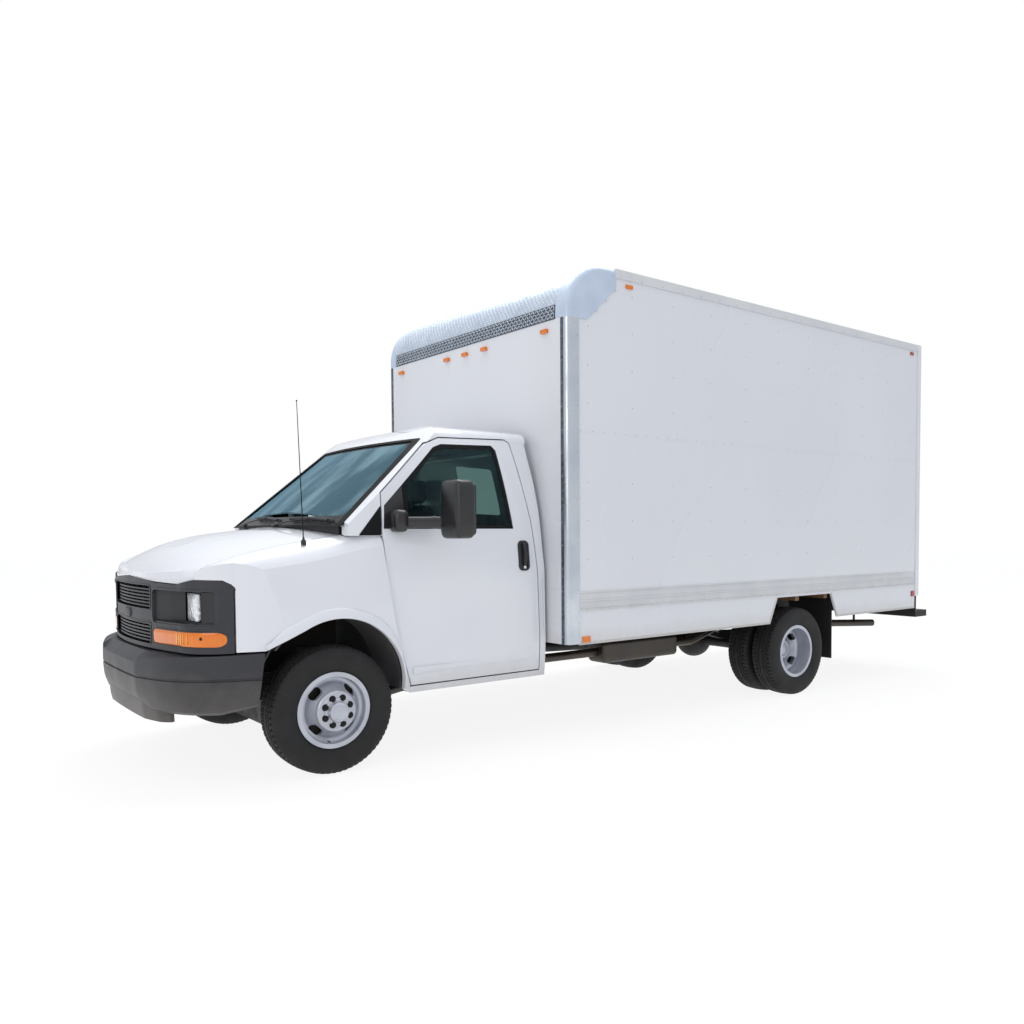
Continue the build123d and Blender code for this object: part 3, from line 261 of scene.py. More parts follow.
# ---- Mesh tools: a shape is (points, faces) ----
def grid(points, wrap=False):
    """A rectangular array of points, (rows, columns, 3), as quads; wrap joins the last column to the first."""
    rows, columns = points.shape[:2]
    index = np.arange(rows * columns).reshape(rows, columns)
    right = np.roll(index, -1, axis=1) if wrap else index[:, 1:]
    left = index if wrap else index[:, :-1]
    quads = np.stack([left[:-1], right[:-1], right[1:], left[1:]], axis=-1).reshape(-1, 4)
    return points.reshape(-1, 3), quads.tolist()


def closed(points):
    """Rings of points, each joined round, with the first and the last ring filled."""
    rows, columns = points.shape[:2]
    flat, faces = grid(points, wrap=True)
    last = (rows - 1) * columns
    return flat, faces + [list(range(columns))[::-1], list(range(last, last + columns))]


def merged(shapes):
    """Several shapes as one."""
    points, faces, start = [], [], 0
    for shape_points, shape_faces in shapes:
        points.append(shape_points)
        faces += [[start + i for i in face] for face in shape_faces]
        start += len(shape_points)
    return np.concatenate(points), faces


def circle(count):
    """Angles spread evenly round a circle."""
    return np.linspace(0, TAU, count, endpoint=False)


def raised(flat, z):
    """Points of a plan, (x, y), at a height."""
    return np.column_stack([flat, np.full(len(flat), float(z))])


def upright(flat, x, side=1):
    """Points of a front view, (y, z), at a distance x; a side of -1 mirrors them."""
    return np.column_stack([np.broadcast_to(x, len(flat)), side * flat[:, 0], flat[:, 1]])


def swept(rows):
    """Rows of points in millimetres, one for each corner of a section, as a closed bar along them."""
    return closed(truck(np.array(rows).transpose(1, 0, 2)))


def piece(name, shape, material, body="chassis", smooth=35, bevel=0.0):
    """Makes one object of a shape, shaded smooth up to an angle, and hangs it on a body."""
    points, faces = shape
    mesh = bpy.data.meshes.new(name)
    mesh.from_pydata(points.tolist(), [], faces)
    mesh.materials.append(material)
    made = bpy.data.objects.new(name, mesh)
    bpy.context.scene.collection.objects.link(made)
    bpy.ops.object.select_all(action="DESELECT")
    made.select_set(True)
    bpy.context.view_layer.objects.active = made
    bpy.ops.object.mode_set(mode="EDIT")
    bpy.ops.mesh.select_all(action="SELECT")
    bpy.ops.mesh.normals_make_consistent(inside=False)
    bpy.ops.object.mode_set(mode="OBJECT")
    if smooth:
        bpy.ops.object.shade_smooth_by_angle(angle=np.radians(smooth))
    if bevel:
        made.modifiers.new("edge", "BEVEL").width = bevel
        made.modifiers["edge"].segments = 2
    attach(made, body)
    return made


def unit(vectors):
    """Vectors of length one."""
    return vectors / np.linalg.norm(vectors, axis=-1, keepdims=True)


def leftward(line):
    """Unit vectors square to a line of 2D points, to its left."""
    along = unit(np.gradient(line, axis=0))
    return np.stack([-along[:, 1], along[:, 0]], 1)


def ramp(value, start, end):
    """0 up to start, 1 from end on and a straight line between, whichever of the two is higher."""
    return np.clip((value - start) / (end - start), 0, 1)


def between(start, end, count):
    """Evenly spread points on a straight line, its ends among them."""
    start, end = np.asarray(start, float), np.asarray(end, float)
    return start + (end - start) * np.linspace(0, 1, count)[:, None]


def tube(path, radius, sides=12, flat=1.0):
    """A ring of the given radius, flattened by flat along its second direction, carried along a path."""
    path = np.asarray(path, float)
    along = unit(np.gradient(path, axis=0))
    lead = np.array([0, 0, 1.0]) if abs(along[0][2]) < 0.9 else np.array([0, 1.0, 0])
    across = unit(np.cross(along, lead))
    second = np.cross(across, along)
    turn = circle(sides)[None, :, None]
    reach = np.broadcast_to(np.asarray(radius, float), (len(path),))[:, None, None]
    rings = path[:, None] + reach * (np.cos(turn) * across[:, None] + flat * np.sin(turn) * second[:, None])
    return closed(rings)


def lathe(profile, centre, axis=(0, 1, 0), sides=48, wave=None):
    """A profile of (radius, along) points turned about an axis; wave(angle, row) adds to the radius."""
    axis = unit(np.array(axis, float))
    side = unit(np.cross(axis, [0, 0, 1.0] if abs(axis[2]) < 0.9 else [1.0, 0, 0]))
    third = np.cross(axis, side)
    profile = np.asarray(profile, float)
    turn = circle(sides)[None, :]
    radius = profile[:, :1] + (wave(turn, profile) if wave is not None else 0)
    ring = radius[..., None] * (np.cos(turn)[..., None] * side + np.sin(turn)[..., None] * third)
    return np.asarray(centre) + ring + profile[:, 1][:, None, None] * axis


def block(low, high):
    """A box between two corners given in millimetres from the front axle."""
    (a, b, c), (d, e, f) = truck(low), truck(high)
    x, y, z = sorted((a, d)), sorted((b, e)), sorted((c, f))
    rings = [[(x[0], y[0], k), (x[1], y[0], k), (x[1], y[1], k), (x[0], y[1], k)] for k in z]
    return closed(np.array(rings))


def rounded(low, high, corner, steps=5):
    """A flat rounded-rectangle outline of (u, v) points between two corners."""
    (a, b), (c, d) = low, high
    turn = np.linspace(0, np.pi / 2, steps)
    curve = corner * np.stack([np.cos(turn), np.sin(turn)], 1)
    spots = ((c - corner, d - corner), (a + corner, d - corner), (a + corner, b + corner), (c - corner, b + corner))
    signs = ((1, 1), (-1, 1), (-1, -1), (1, -1))
    arcs = [np.array(spot) + (curve if n % 2 == 0 else curve[::-1]) * sign
            for n, (spot, sign) in enumerate(zip(spots, signs))]
    return np.concatenate(arcs)


def resampled(points, count, loop=True):
    """A polyline's points spread evenly along it."""
    points = np.asarray(points, float)
    line = np.vstack([points, points[:1]]) if loop else points
    reach = np.concatenate([[0], np.cumsum(np.linalg.norm(np.diff(line, axis=0), axis=1))])
    want = np.linspace(0, reach[-1], count, endpoint=not loop)
    return np.stack([np.interp(want, reach, line[:, k]) for k in range(line.shape[1])], 1)


def softened(points, radius, count=200):
    """A closed outline whose corners are rounded by averaging along it over a length of radius."""
    even = resampled(points, count)
    length = np.linalg.norm(np.roll(even, -1, 0) - even, axis=1).sum()
    width = max(int(radius / length * count), 1)
    shifts = range(-width, width + 1)
    return sum(np.roll(even, shift, 0) for shift in shifts) / len(shifts)


def inset(points, distance):
    """A closed outline moved towards its own left-hand side by distance, point by point."""
    along = unit(np.roll(points, -1, 0) - np.roll(points, 1, 0))
    return points + distance * np.stack([-along[:, 1], along[:, 0]], 1)


def arc(p, q, r, count):
    """Points on the circle through p, q and r, from p to r."""
    (ax, ay), (bx, by), (cx, cy) = p, q, r
    d = 2 * (ax * (by - cy) + bx * (cy - ay) + cx * (ay - by))
    ux = ((ax * ax + ay * ay) * (by - cy) + (bx * bx + by * by) * (cy - ay) + (cx * cx + cy * cy) * (ay - by)) / d
    uy = ((ax * ax + ay * ay) * (cx - bx) + (bx * bx + by * by) * (ax - cx) + (cx * cx + cy * cy) * (bx - ax)) / d
    angles = np.unwrap([np.arctan2(y - uy, x - ux) for x, y in (p, q, r)])
    turn = np.linspace(angles[0], angles[2], count)
    radius = np.hypot(ax - ux, ay - uy)
    return np.stack([ux + radius * np.cos(turn), uy + radius * np.sin(turn)], 1)


# ---- The cab's form, repeated from the part (millimetres from the front axle) ----
# Heights of the cab's side and its half width there
SILL, WAIST, BELT, HEADER, EAVE = (421, 985), (850, 1006), (1384, 968), (1684.5, 912), (1985, 828)
# The windscreen: where its foot is, its run and rise, its length up the slope and the radius of its bow
GLASS_X, GLASS_Z, GLASS_RUN, GLASS_RISE, GLASS_SLOPE, GLASS_BOW = -10, 1440, 710, 595, 926.4, 4312.0


def body_y(z):
    """Half the cab's width at a height: one arc from sill to belt, another from belt to eave."""
    z = np.asarray(z, float)
    low, high = arc(SILL, WAIST, BELT, 400), arc(BELT, HEADER, EAVE, 400)
    return np.where(z < BELT[0], np.interp(z, low[:, 0], low[:, 1]), np.interp(z, high[:, 0], high[:, 1]))


def on_side(flat, depth, side=-1):
    """(x, z) points laid on the cab's side, depth millimetres under its skin."""
    flat, depth = np.asarray(flat, float), np.asarray(depth, float)
    return truck(np.stack([flat[..., 0], side * (body_y(flat[..., 1]) - depth), flat[..., 1]], -1))


def side_lay(side):
    """The same for one side of the cab, as a function that bands, sheets and strips take."""
    return lambda flat, depth: on_side(flat, depth, side)


def on_glass(flat, depth):
    """(y, z) points laid on the bowed windscreen, depth millimetres under the body's outer form."""
    flat = np.asarray(flat, float)
    y, z = flat[..., 0], flat[..., 1]
    bow = GLASS_BOW - np.sqrt(GLASS_BOW**2 - y**2)
    x = GLASS_X + (z - GLASS_Z) * GLASS_RUN / GLASS_RISE + bow + depth * GLASS_SLOPE / GLASS_RISE
    return truck(np.stack([x, y, z], -1))


def band(outer, inner, lay, depth, thick):
    """A flat ring between two outlines of equal count, laid on a surface, with a front, a back and edges."""
    rings = [lay(inner, depth), lay(outer, depth), lay(outer, depth + thick), lay(inner, depth + thick)]
    return grid(np.stack([*rings, rings[0]], 1).transpose(1, 0, 2), wrap=True)


def sheet(outline, lay, depth, thick):
    """A filled outline laid on a surface: rings that close in on its middle, front and back."""
    middle = outline.mean(0)
    shares = np.array([1, 0.85, 0.65, 0.4, 0.15])[:, None, None]
    rings = middle + (outline - middle) * shares
    front, back = lay(rings, depth), lay(rings[:1], depth + thick)
    return closed(np.concatenate([back, front]))


def strip(centre, normal, width, height, lay, steps=5):
    """A rounded bead along a line of 2D points: its height, which may fade along it, is a sine across it."""
    across = np.linspace(-1, 1, steps)
    points = centre[:, None] + np.array(normal) * (across * width / 2)[None, :, None]
    lift = np.cos(across * np.pi / 2)
    return grid(np.stack([lay(points[:, n], 1.5 - height * lift[n]) for n in range(steps)], 1))


# ---- Wheels ----
TYRE_PROFILE = [(203.5, 78), (221, 80), (226, 90), (232, 97), (245, 103), (262, 108), (283, 111), (300, 111.2),
                (316, 110), (330, 107), (339, 104.5), (346, 101), (352, 98), (358, 94), (363, 88), (366.5, 80)]
TREAD_TURNS = 66


def tyre(centre):
    """
    A road tyre: the section turned about the axle. Between the shoulders the radius drops into four grooves
    whose line wavers as a sine of the angle, and into short cuts that slant across the ribs; the shoulder has
    a block every turn of the wave.
    """
    half = np.array(TYRE_PROFILE)
    across = np.linspace(74, -74, 53)
    crown = np.stack([372 - 4.6 * (across / 80) ** 2, across], 1)
    section = np.concatenate([half, crown, half[::-1] * [1, -1]])
    side_rows = len(half)

    def wave(turn, profile):
        place = profile[:, 1][:, None] * 1000
        reach = profile[:, 0][:, None] * 1000
        tread = np.zeros(len(profile), bool)
        tread[side_rows:-side_rows] = True
        waver = 2.2 * np.sin(turn * TREAD_TURNS)
        groove = np.zeros_like(place * turn)
        for line in (-50, -17, 17, 50):
            groove = np.maximum(groove, np.clip(1.6 - np.abs(place - line - waver) / 3.4, 0, 1))
        slant = (turn * TREAD_TURNS / TAU * 2 + np.abs(place) / 34) % 1
        cut = 0.6 * (np.abs(slant - 0.5) < 0.13) * (np.abs(np.abs(place) - 33) < 14)
        shoulder = (np.abs(place) > 62) * ((turn * TREAD_TURNS / TAU) % 1 < 0.33)
        depth = 9 * np.maximum(groove, np.maximum(cut, shoulder)) * tread[:, None]
        lug = (reach > 345) * ~tread[:, None] * ((turn * TREAD_TURNS / TAU) % 1 < 0.33) * 3.0
        return -(depth + lug) / 1000

    rings = lathe(section / 1000, centre, sides=TREAD_TURNS * 6, wave=wave)
    return grid(np.concatenate([rings, rings[:1]]), wrap=True)


def nut(centre, outward, radius=0.0165, tall=0.017):
    """A capped hexagon nut: six flats up to a chamfer, then a low dome."""
    rows = [(1.0, 0.0), (1.0, 0.55), (0.86, 0.72), (0.55, 0.92), (0.12, 1.0)]
    angles = circle(12)
    rings = []
    for share, up in rows:
        hexed = 1 / np.cos((angles + np.pi / 6) % (np.pi / 3) - np.pi / 6) if up < 0.6 else 1.08
        reach = radius * share * hexed * 0.93
        rings.append(np.stack([reach * np.cos(angles), np.full(12, up * tall), reach * np.sin(angles)], 1))
    shape = np.array(rings) * [1, outward, 1] + centre
    return closed(shape)


def hub_trim(x, face_y, outward, cap_reach):
    """A wheel's eight nuts in their wells, and the blank round cap in the middle, as two shapes."""
    centre = truck((x, outward * face_y, WHEEL_Z))
    nuts, wells = [], []
    for angle in circle(8) + TAU / 16:
        spot = centre + 0.0795 * np.array([np.cos(angle), 0, np.sin(angle)])
        nuts.append(nut(spot, outward))
        wells.append(closed(lathe([(0.0205, 0.0006), (0.0205, 0.002), (0.015, 0.0022)], spot, (0, outward, 0), 16)))
    rows = [(0.060, 0.0), (0.060, 0.6), (0.056, 0.85), (0.047, 1.0), (0.0435, 0.99), (0.042, 0.94),
            (0.030, 0.99), (0.012, 1.04), (0.002, 1.05)]
    cap = closed(lathe([(r, up * cap_reach) for r, up in rows], centre, (0, outward, 0), 48))
    return merged(nuts + wells), cap


def valve(x, face_y, outward):
    """A tyre valve: a thin stem that leans out through a hand hole, with its cap."""
    foot = truck((x - 30, outward * (face_y - 50), WHEEL_Z - 178))
    tip = truck((x - 44, outward * (face_y + 12), WHEEL_Z - 172))
    return tube(between(foot, tip, 6), np.array([4, 4, 4, 3.2, 4.6, 4.2]) / 1000, 10)


for side, word in SIDES:
    spot = truck((0, side * FRONT_TYRE_Y, WHEEL_Z))
    made = piece(f"front_tread_{word}", tyre(spot), tyre_rubber, f"front_wheel_{word}", smooth=28)
    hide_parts(f"front_tyre_{word}")
    twins = merged([tyre(truck((WHEELBASE, side * y, WHEEL_Z))) for y in TWIN_TYRE_Y])
    made = piece(f"rear_treads_{word}", twins, tyre_rubber, f"rear_wheels_{word}", smooth=28)
    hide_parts(f"rear_tyres_{word}")
    for place, x, face_y, body, reach in (("front", 0, 999.5, f"front_wheel_{word}", 0.036),
                                          ("rear", WHEELBASE, 973, f"rear_wheels_{word}", 0.085)):
        nuts, cap = hub_trim(x, face_y, side, reach)
        piece(f"{place}_nuts_{word}", nuts, black_nuts if place == "front" else zinc, body)
        piece(f"{place}_cap_{word}", cap, wheel_enamel, body)
    piece(f"front_valve_{word}", valve(0, 975, side), black_nuts, f"front_wheel_{word}")

    shield = lathe([(0.080, 0), (0.174, 0), (0.178, 0.010), (0.175, 0.010), (0.172, 0.003), (0.080, 0.003)],
                   truck((0, side * (FRONT_TYRE_Y + 15), WHEEL_Z)), (0, side, 0), 40)
    piece(f"dust_shield_{word}", grid(np.concatenate([shield, shield[:1]]), wrap=True), iron,
          f"knuckle_{word}")

# ---- Cab: glazing borders, seals, wipers, antenna, mirrors, handles ----
def screen(foot_y, foot_z, head_y, head_z, radius):
    """A windscreen's outline: its half width and height at the foot and at the head, with rounded corners."""
    return softened([(-foot_y, foot_z), (foot_y, foot_z), (head_y, head_z), (-head_y, head_z)], radius, 260)


border = band(screen(868, 1436, 688, 1981, 34), screen(834, 1492, 664, 1960, 50), on_glass, 5.2, 1.0)
piece("windscreen_border", border, gloss_black)
seal = band(screen(914, 1427, 738, 1993, 30), screen(858, 1440, 682, 1976, 30), on_glass, -1.6, 8.0)
piece("windscreen_seal", seal, weatherstrip)
# The door window's outline, (x, z)
WINDOW = [(474, 1415), (1259, 1415), (1253, 1480), (1203, 1928), (1174, 1959), (790, 1947), (730, 1922), (474, 1682)]
for side, word in SIDES:
    lay = side_lay(side)
    corner = softened([(158, 1374), (303, 1374), (315, 1552)], 5, 90)
    piece(f"corner_panel_{word}", sheet(corner, lay, -1.4, 6), weatherstrip)
    outer = softened(WINDOW, 30, 240)
    inner = inset(outer, 24)
    piece(f"window_seal_{word}", band(outer, inner, lay, 2.0, 4.2), weatherstrip, f"door_{word}")
    belt = np.stack([np.linspace(474, 1256, 30), np.full(30, 1421)], 1)
    bead = strip(belt, (0, 1), 18, 7, lay)
    piece(f"belt_strip_{word}", bead, weatherstrip, f"door_{word}", smooth=60)

# The fenders' flared lip: a band along the arch's edge, whose width goes by the angle about the wheel and which
# fades in from its front end
lip_edge = np.concatenate([[(-395, 757)], arc((-185, 850), (17, 903), (428, 447), 60)])
lip_edge = resampled(lip_edge, 80, loop=False)
lip_out = leftward(lip_edge)
lip_angle = np.degrees(np.arctan2(lip_edge[:, 1] - 490, lip_edge[:, 0] - 17))
lip_width = np.interp(lip_angle, [0, 10, 20, 35, 55, 180], [30, 20, 20, 38, 62, 62])
lip_run = np.linspace(0, np.linalg.norm(np.diff(lip_edge, axis=0), axis=1).sum(), len(lip_edge))
lip_fade = ramp(lip_run, 0, 150)
lip_fade = lip_fade**2 * (3 - 2 * lip_fade)
lip_width = lip_width * (0.45 + 0.55 * lip_fade)
# Its section: shares of its width, and how proud of the skin it stands there
across = np.array([0, 0.01, 0.06, 0.2, 0.5, 0.8, 0.93, 1.0])
raise_by = np.array([-16, 13, 15.5, 15.5, 12.5, 8.5, 5.0, -1.5])
for side, word in SIDES:
    flat = lip_edge[:, None] + lip_out[:, None] * (across[None, :, None] * lip_width[:, None, None] - 1)
    proud = np.where(raise_by > 0, raise_by * lip_fade[:, None] + 0.3, raise_by)
    lip = np.stack([on_side(flat[:, n], -proud[:, n], side) for n in range(len(across))], 1)
    keep = flat[:, -1, 1] > 452
    piece(f"arch_lip_{word}", grid(lip[keep]), cab_enamel, smooth=50)

    # A pressed crease runs along the foot of the door
    line = np.column_stack([np.linspace(492, 1430, 70), np.full(70, 552.0)])
    rise = 4.2 * np.clip(np.sin(np.linspace(0, np.pi, 70)) * 3, 0, 1)
    crease = strip(line, (0, 1), 44, rise, side_lay(side), 9)
    piece(f"door_crease_{word}", crease, cab_enamel, f"door_{word}", smooth=60)
    # Two pressed ridges run up the quarter panel behind the door
    for number, x in enumerate((1464, 1482)):
        z = np.linspace(480, 1930, 60)
        line = np.stack([x - 0.00012 * np.clip(z - BELT[0], 0, None) ** 2, z], 1)
        ridge = strip(line, (1, 0), 9, 4.0, side_lay(side))
        piece(f"quarter_ridge_{number}_{word}", ridge, cab_enamel, smooth=60)


def handle(side):
    """A flap handle: a rounded escutcheon, a dark well in it, a bowed grip over the well, and the lock."""
    lay = side_lay(side)
    plate_outline = rounded((1284, 1134), (1372, 1334), 34, 9)
    rings = [lay(plate_outline, 4), lay(plate_outline, -5), lay(inset(plate_outline, 5), -9),
             lay(inset(plate_outline, 17), -9), lay(inset(plate_outline, 20), -1.5)]
    plate = closed(np.array(rings))
    height = np.linspace(1172, 1316, 15)
    bow = -9 - 13 * np.sin((height - 1172) / 144 * np.pi) ** 0.6
    grip = tube(lay(np.column_stack([np.full(15, 1330), height]), bow), 0.0125, 14, 0.6)
    lock = closed(lathe([(0.011, 0), (0.011, 0.003), (0.009, 0.0045), (0.003, 0.0045)], lay((1328, 1158), -7),
                        (0, side, 0), 24))
    return merged([plate, grip]), lock


for side, word in SIDES:
    pull, lock = handle(side)
    piece(f"door_handle_{word}", pull, black_plastic, f"door_{word}")
    piece(f"door_lock_{word}", lock, chrome, f"door_{word}")


def superbox(centre, half, power=4.0, rows=18, sides=40, taper=None):
    """A box with swelling faces: |x/a|^p + |y/b|^p + |z/c|^p = 1, sampled by latitude and longitude."""
    lat = np.linspace(-np.pi / 2 + 0.02, np.pi / 2 - 0.02, rows)[:, None]
    lon = circle(sides)[None, :]

    def bend(value):
        return np.sign(value) * np.abs(value) ** (2 / power)

    x = bend(np.cos(lat)) * bend(np.cos(lon))
    y = bend(np.cos(lat)) * bend(np.sin(lon))
    z = bend(np.sin(lat)) * np.ones_like(lon)
    points = np.stack([x, y, z], -1)
    if taper is not None:
        points = taper(points)
    return closed(points * (np.asarray(half) / 1000) + truck(centre))


def mirror_parts(side):
    """A towing mirror: the black sail, its pod and arm, and a tall shell with two panes facing rearwards."""
    lay = side_lay(side)
    sail = softened([(324, 1414), (470, 1414), (470, 1676), (342, 1556)], 8, 120)
    plate = sheet(sail, lay, 2, 22)
    pod = superbox((402, side * 1000, 1460), (46, 62, 68), 3.6)
    path = truck(between((405, side * 1010, 1452), (664, side * 1150, 1452), 12))
    arm = tube(path, 0.027, 20, 1.25)
    collar = tube(path[7:9], 0.030, 20, 1.25)

    def shape(points):
        x, y, z = points[..., 0], points[..., 1], points[..., 2]
        bulge = np.where(x < 0, 1 + 0.12 * (1 - z**2) * (1 - y**2), 1.0)
        narrow = 1 - 0.05 * np.clip(z, 0, 1) - 0.03 * np.clip(-z, 0, 1)
        return np.stack([x * bulge * 0.9, y * narrow, z], -1)

    shell = superbox((669, side * 1228.5, 1526), (69, 113.5, 174), 7.0, 26, 56, shape)
    rim_line = rounded((1133, 1372), (1324, 1682), 30, 7)

    def lay_back(flat, depth):
        return truck(upright(flat, 738.0 - depth, side))

    rim = band(rim_line, inset(rim_line, 12), lay_back, 0.0, 12)
    main = rounded((1146, 1480), (1311, 1669), 20, 6)
    small = rounded((1146, 1386), (1311, 1462), 16, 6)
    panes = [closed(np.array([lay_back(line, 12), lay_back(line, 5), lay_back(inset(line, 6), 4)]))
             for line in (main, small)]
    return merged([plate, pod, arm, collar, shell, rim]), merged(panes)


for side, word in SIDES:
    body, panes = mirror_parts(side)
    made = piece(f"towing_mirror_{word}", body, satin_black, f"door_{word}", smooth=40)
    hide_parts(f"mirror_{word}")
    piece(f"mirror_panes_{word}", panes, silvered, f"door_{word}")


def wiper(tip_in, tip_out, pivot):
    """A blade laid along the glass with its rubber edge, and an arm from its pivot to the blade's middle."""
    line = between(tip_in, tip_out, 24)
    line[:, 1] += 10 * np.sin(np.linspace(0, 1, 24) * np.pi)
    rubber = tube(on_glass(line, -4), 0.0045, 8, 1.8)
    frame_line = tube(on_glass(line[2:-2], -14), 0.005, 8, 1.3)
    clamps = [tube(on_glass(line[[n, n]], np.array([-3, -14])), 0.004, 8) for n in (3, 8, 12, 16, 20)]
    reach = between(pivot, line[12], 12)
    lift = -20 - 12 * np.sin(np.linspace(0, 1, 12) * np.pi)
    arm = tube(on_glass(reach, lift), np.linspace(9, 5, 12) / 1000, 10, 0.6)
    boss = closed(lathe([(0.016, -0.02), (0.016, 0.010), (0.011, 0.016), (0.002, 0.017)], on_glass(pivot, -4),
                        (-0.64, 0, 0.77), 20))
    return merged([rubber, frame_line, *clamps, arm, boss])


piece("wiper_left", wiper((-250, 1478), (-800, 1462), (-150, 1440)), black_plastic)
piece("wiper_right", wiper((390, 1490), (-150, 1470), (480, 1440)), black_plastic)

mast_foot, mast_tip = truck((-143, -900, 1346)), truck((-170, -902, 2128))
mast = tube(between(mast_foot, mast_tip, 30), np.linspace(3.4, 2.0, 30) / 1000, 10)
piece("antenna_mast", mast, black_nuts)
tip = closed(lathe([(0.0005, -0.004), (0.004, -0.003), (0.0045, 0.0), (0.004, 0.003), (0.0005, 0.004)], mast_tip,
                   (0, 0, 1), 12))
base = closed(lathe([(0.015, -0.022), (0.0145, -0.004), (0.011, 0.003), (0.007, 0.009), (0.005, 0.02),
                     (0.003, 0.022)], mast_foot, (0, 0, 1), 28))
piece("antenna_base", merged([base, tip]), black_plastic)

# ---- Front end ----
def nose_x(y):
    """The grille's plan: one shallow arc across the middle."""
    line = arc((700, -765), (0, -850), (-700, -765), 200)
    return np.interp(np.abs(y), line[:100][::-1, 0], line[:100][::-1, 1])


def plan_sheet(plan, low, high, thick):
    """A wall that stands on a plan line of (x, y) points between two heights, closed and thick."""
    plan = np.asarray(plan, float)
    back = plan - leftward(plan) * thick
    return swept([raised(line, z) for line, z in ((plan, low), (plan, high), (back, high), (back, low))])


BEND = arc((700, -765), (862, -690), (942, -545), 200)


def front_x(y):
    """The front end's plan: the grille's arc, then a tighter one round the lamps to the corner."""
    y = np.abs(y)
    return np.where(y < 700, nose_x(y), np.interp(y, BEND[:, 0], BEND[:, 1]))


def lamp_pocket(side):
    """The lamp's recess: a wall slanting in from the grille, a frame for the lamp, a panel out to the corner."""
    inner = [(-808, 430), (-792, 476), (-762, 548), (-728, 616), (-711, 650)]
    outer = [(front_x(y) + deep, y) for y, deep in ((864, -6), (874, 3), (886, 7), (898, 7), (904, 4))]
    parts = []
    for plan in (inner, outer):
        line = resampled(plan, 16, loop=False) * [1, side]
        parts.append(plan_sheet(line, 909, 1079, 4 * side))
    for low, high in ((906, 914), (1074, 1082)):
        floor_line = np.array(inner + outer, float) * [1, side]
        back = np.array([(-640, side * 900), (-660, side * 860), (-668, side * 640), (-790, side * 428)])
        flat = np.concatenate([floor_line, back])
        parts.append(closed(truck(np.array([raised(flat, low), raised(flat, high)]))))
    return merged(parts)


def lamp_glass(side):
    """A rectangular sealed beam whose front swells, with a bowl that narrows behind it."""
    outline = rounded((676, 918), (842, 1070), 18, 6)
    middle = outline.mean(0)
    rows = []
    for share, x in ((0.7, -655), (1.0, -690), (1.0, -703), (0.97, -709), (0.8, -713), (0.5, -716), (0.2, -717)):
        rows.append(upright(middle + (outline - middle) * share, x, side))
    return closed(truck(np.array(rows)))


def wrapped_lens(side):
    """The turn lamp: a long lens laid along the front end's plan, its outer end round, its face swelling."""
    y = np.linspace(428, 931, 400)
    run = np.concatenate([[0], np.cumsum(np.hypot(np.diff(front_x(y)), np.diff(y)))])
    along = run[-1] * (1 - np.cos(np.linspace(0, np.pi, 70))) / 2
    y = np.interp(along, run, y)
    left, right = np.clip(1 - along / 6, 0, 1), np.clip(1 - (run[-1] - along) / 34, 0, 1)
    tall = np.clip(39 * np.sqrt(1 - left**2) * np.sqrt(1 - right**2), 1.0, None)
    rise = np.array([-1, -1, -0.9, -0.55, 0, 0.55, 0.9, 1, 1])
    proud = np.array([-14, 0.5, 3.0, 4.6, 5.2, 4.6, 3.0, 0.5, -14])
    x = front_x(y)[:, None] - proud[None, :] * np.clip(tall / 39, 0.3, 1)[:, None]
    z = 823 + rise[None, :] * tall[:, None]
    rows = np.stack([x, np.broadcast_to(side * y[:, None], x.shape), z], -1)
    return closed(truck(rows))


def lens_bars(side):
    """The amber lens's moulded prisms: upright bright bars in its middle."""
    bars = [block((front_x(y) - 4.4, side * (y - 6), 794), (front_x(y) - 6.4, side * (y + 6), 852))
            for y in (690, 712, 734, 756, 786)]
    return merged(bars)


def surround_corner(side):
    """The surround's rounded upper corner, which closes up to the fender's edge."""
    y = np.linspace(600, 945, 60)
    x = front_x(y)
    top = np.interp(x, [-765, -600, -556, -540], [1146, 1140, 1116, 1086]) - 1.5
    top = np.minimum(top, np.interp(y, [600, 700, 790, 830], [1110, 1118, 1136, 1145]))
    foot = np.full(60, 1085.0)
    return swept([np.column_stack([x + deep, side * y, z])
                  for deep, z in ((-1, foot), (-1, top), (6, top), (6, foot))])


def ring_on_nose(low, high, y_low, y_high, side, width=10, proud=5, corner=16):
    """A raised frame round an opening of the surround, laid on the front end's plan curve."""
    outline = resampled(rounded((y_low, low), (y_high, high), corner, 6), 160)

    def lay(flat, depth):
        return truck(upright(flat, front_x(flat[:, 0]) + depth, side))

    return band(inset(outline, -width), outline, lay, -proud, proud + 14)


for side, word in SIDES:
    piece(f"lamp_pocket_{word}", lamp_pocket(side), black_plastic, smooth=30)
    frames = [ring_on_nose(896, 1080, 424, 924, side, 12, 6, 30), ring_on_nose(782, 864, 425, 933, side, 6, 5, 30)]
    piece(f"lamp_bars_{word}", lens_bars(side), amber_bars, smooth=0)
    bulb_spot = truck((front_x(858) - 4.0, side * 858, 830))
    bulb = closed(lathe([(0.009, 0), (0.009, 0.0018), (0.005, 0.0030), (0.001, 0.0032)], bulb_spot,
                        (-0.85, side * 0.5, 0), 16))
    piece(f"turn_bulb_{word}", bulb, iron)
    piece(f"surround_corner_{word}", surround_corner(side), charcoal, smooth=30)
    piece(f"lamp_frames_{word}", merged(frames), charcoal, smooth=50, bevel=0.0015)
beams = piece("sealed_beams", merged([lamp_glass(-1), lamp_glass(1)]), lens, smooth=30)
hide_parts("headlamps")
turns = piece("turn_lenses", merged([wrapped_lens(-1), wrapped_lens(1)]), amber, smooth=50)
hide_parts("turn_lamps")
grille_frames = [ring_on_nose(772, 892, -385, 385, 1, 8, 3, 14), ring_on_nose(966, 1098, -385, 385, 1, 8, 3, 14)]
piece("grille_frames", merged(grille_frames), charcoal, smooth=50, bevel=0.0015)
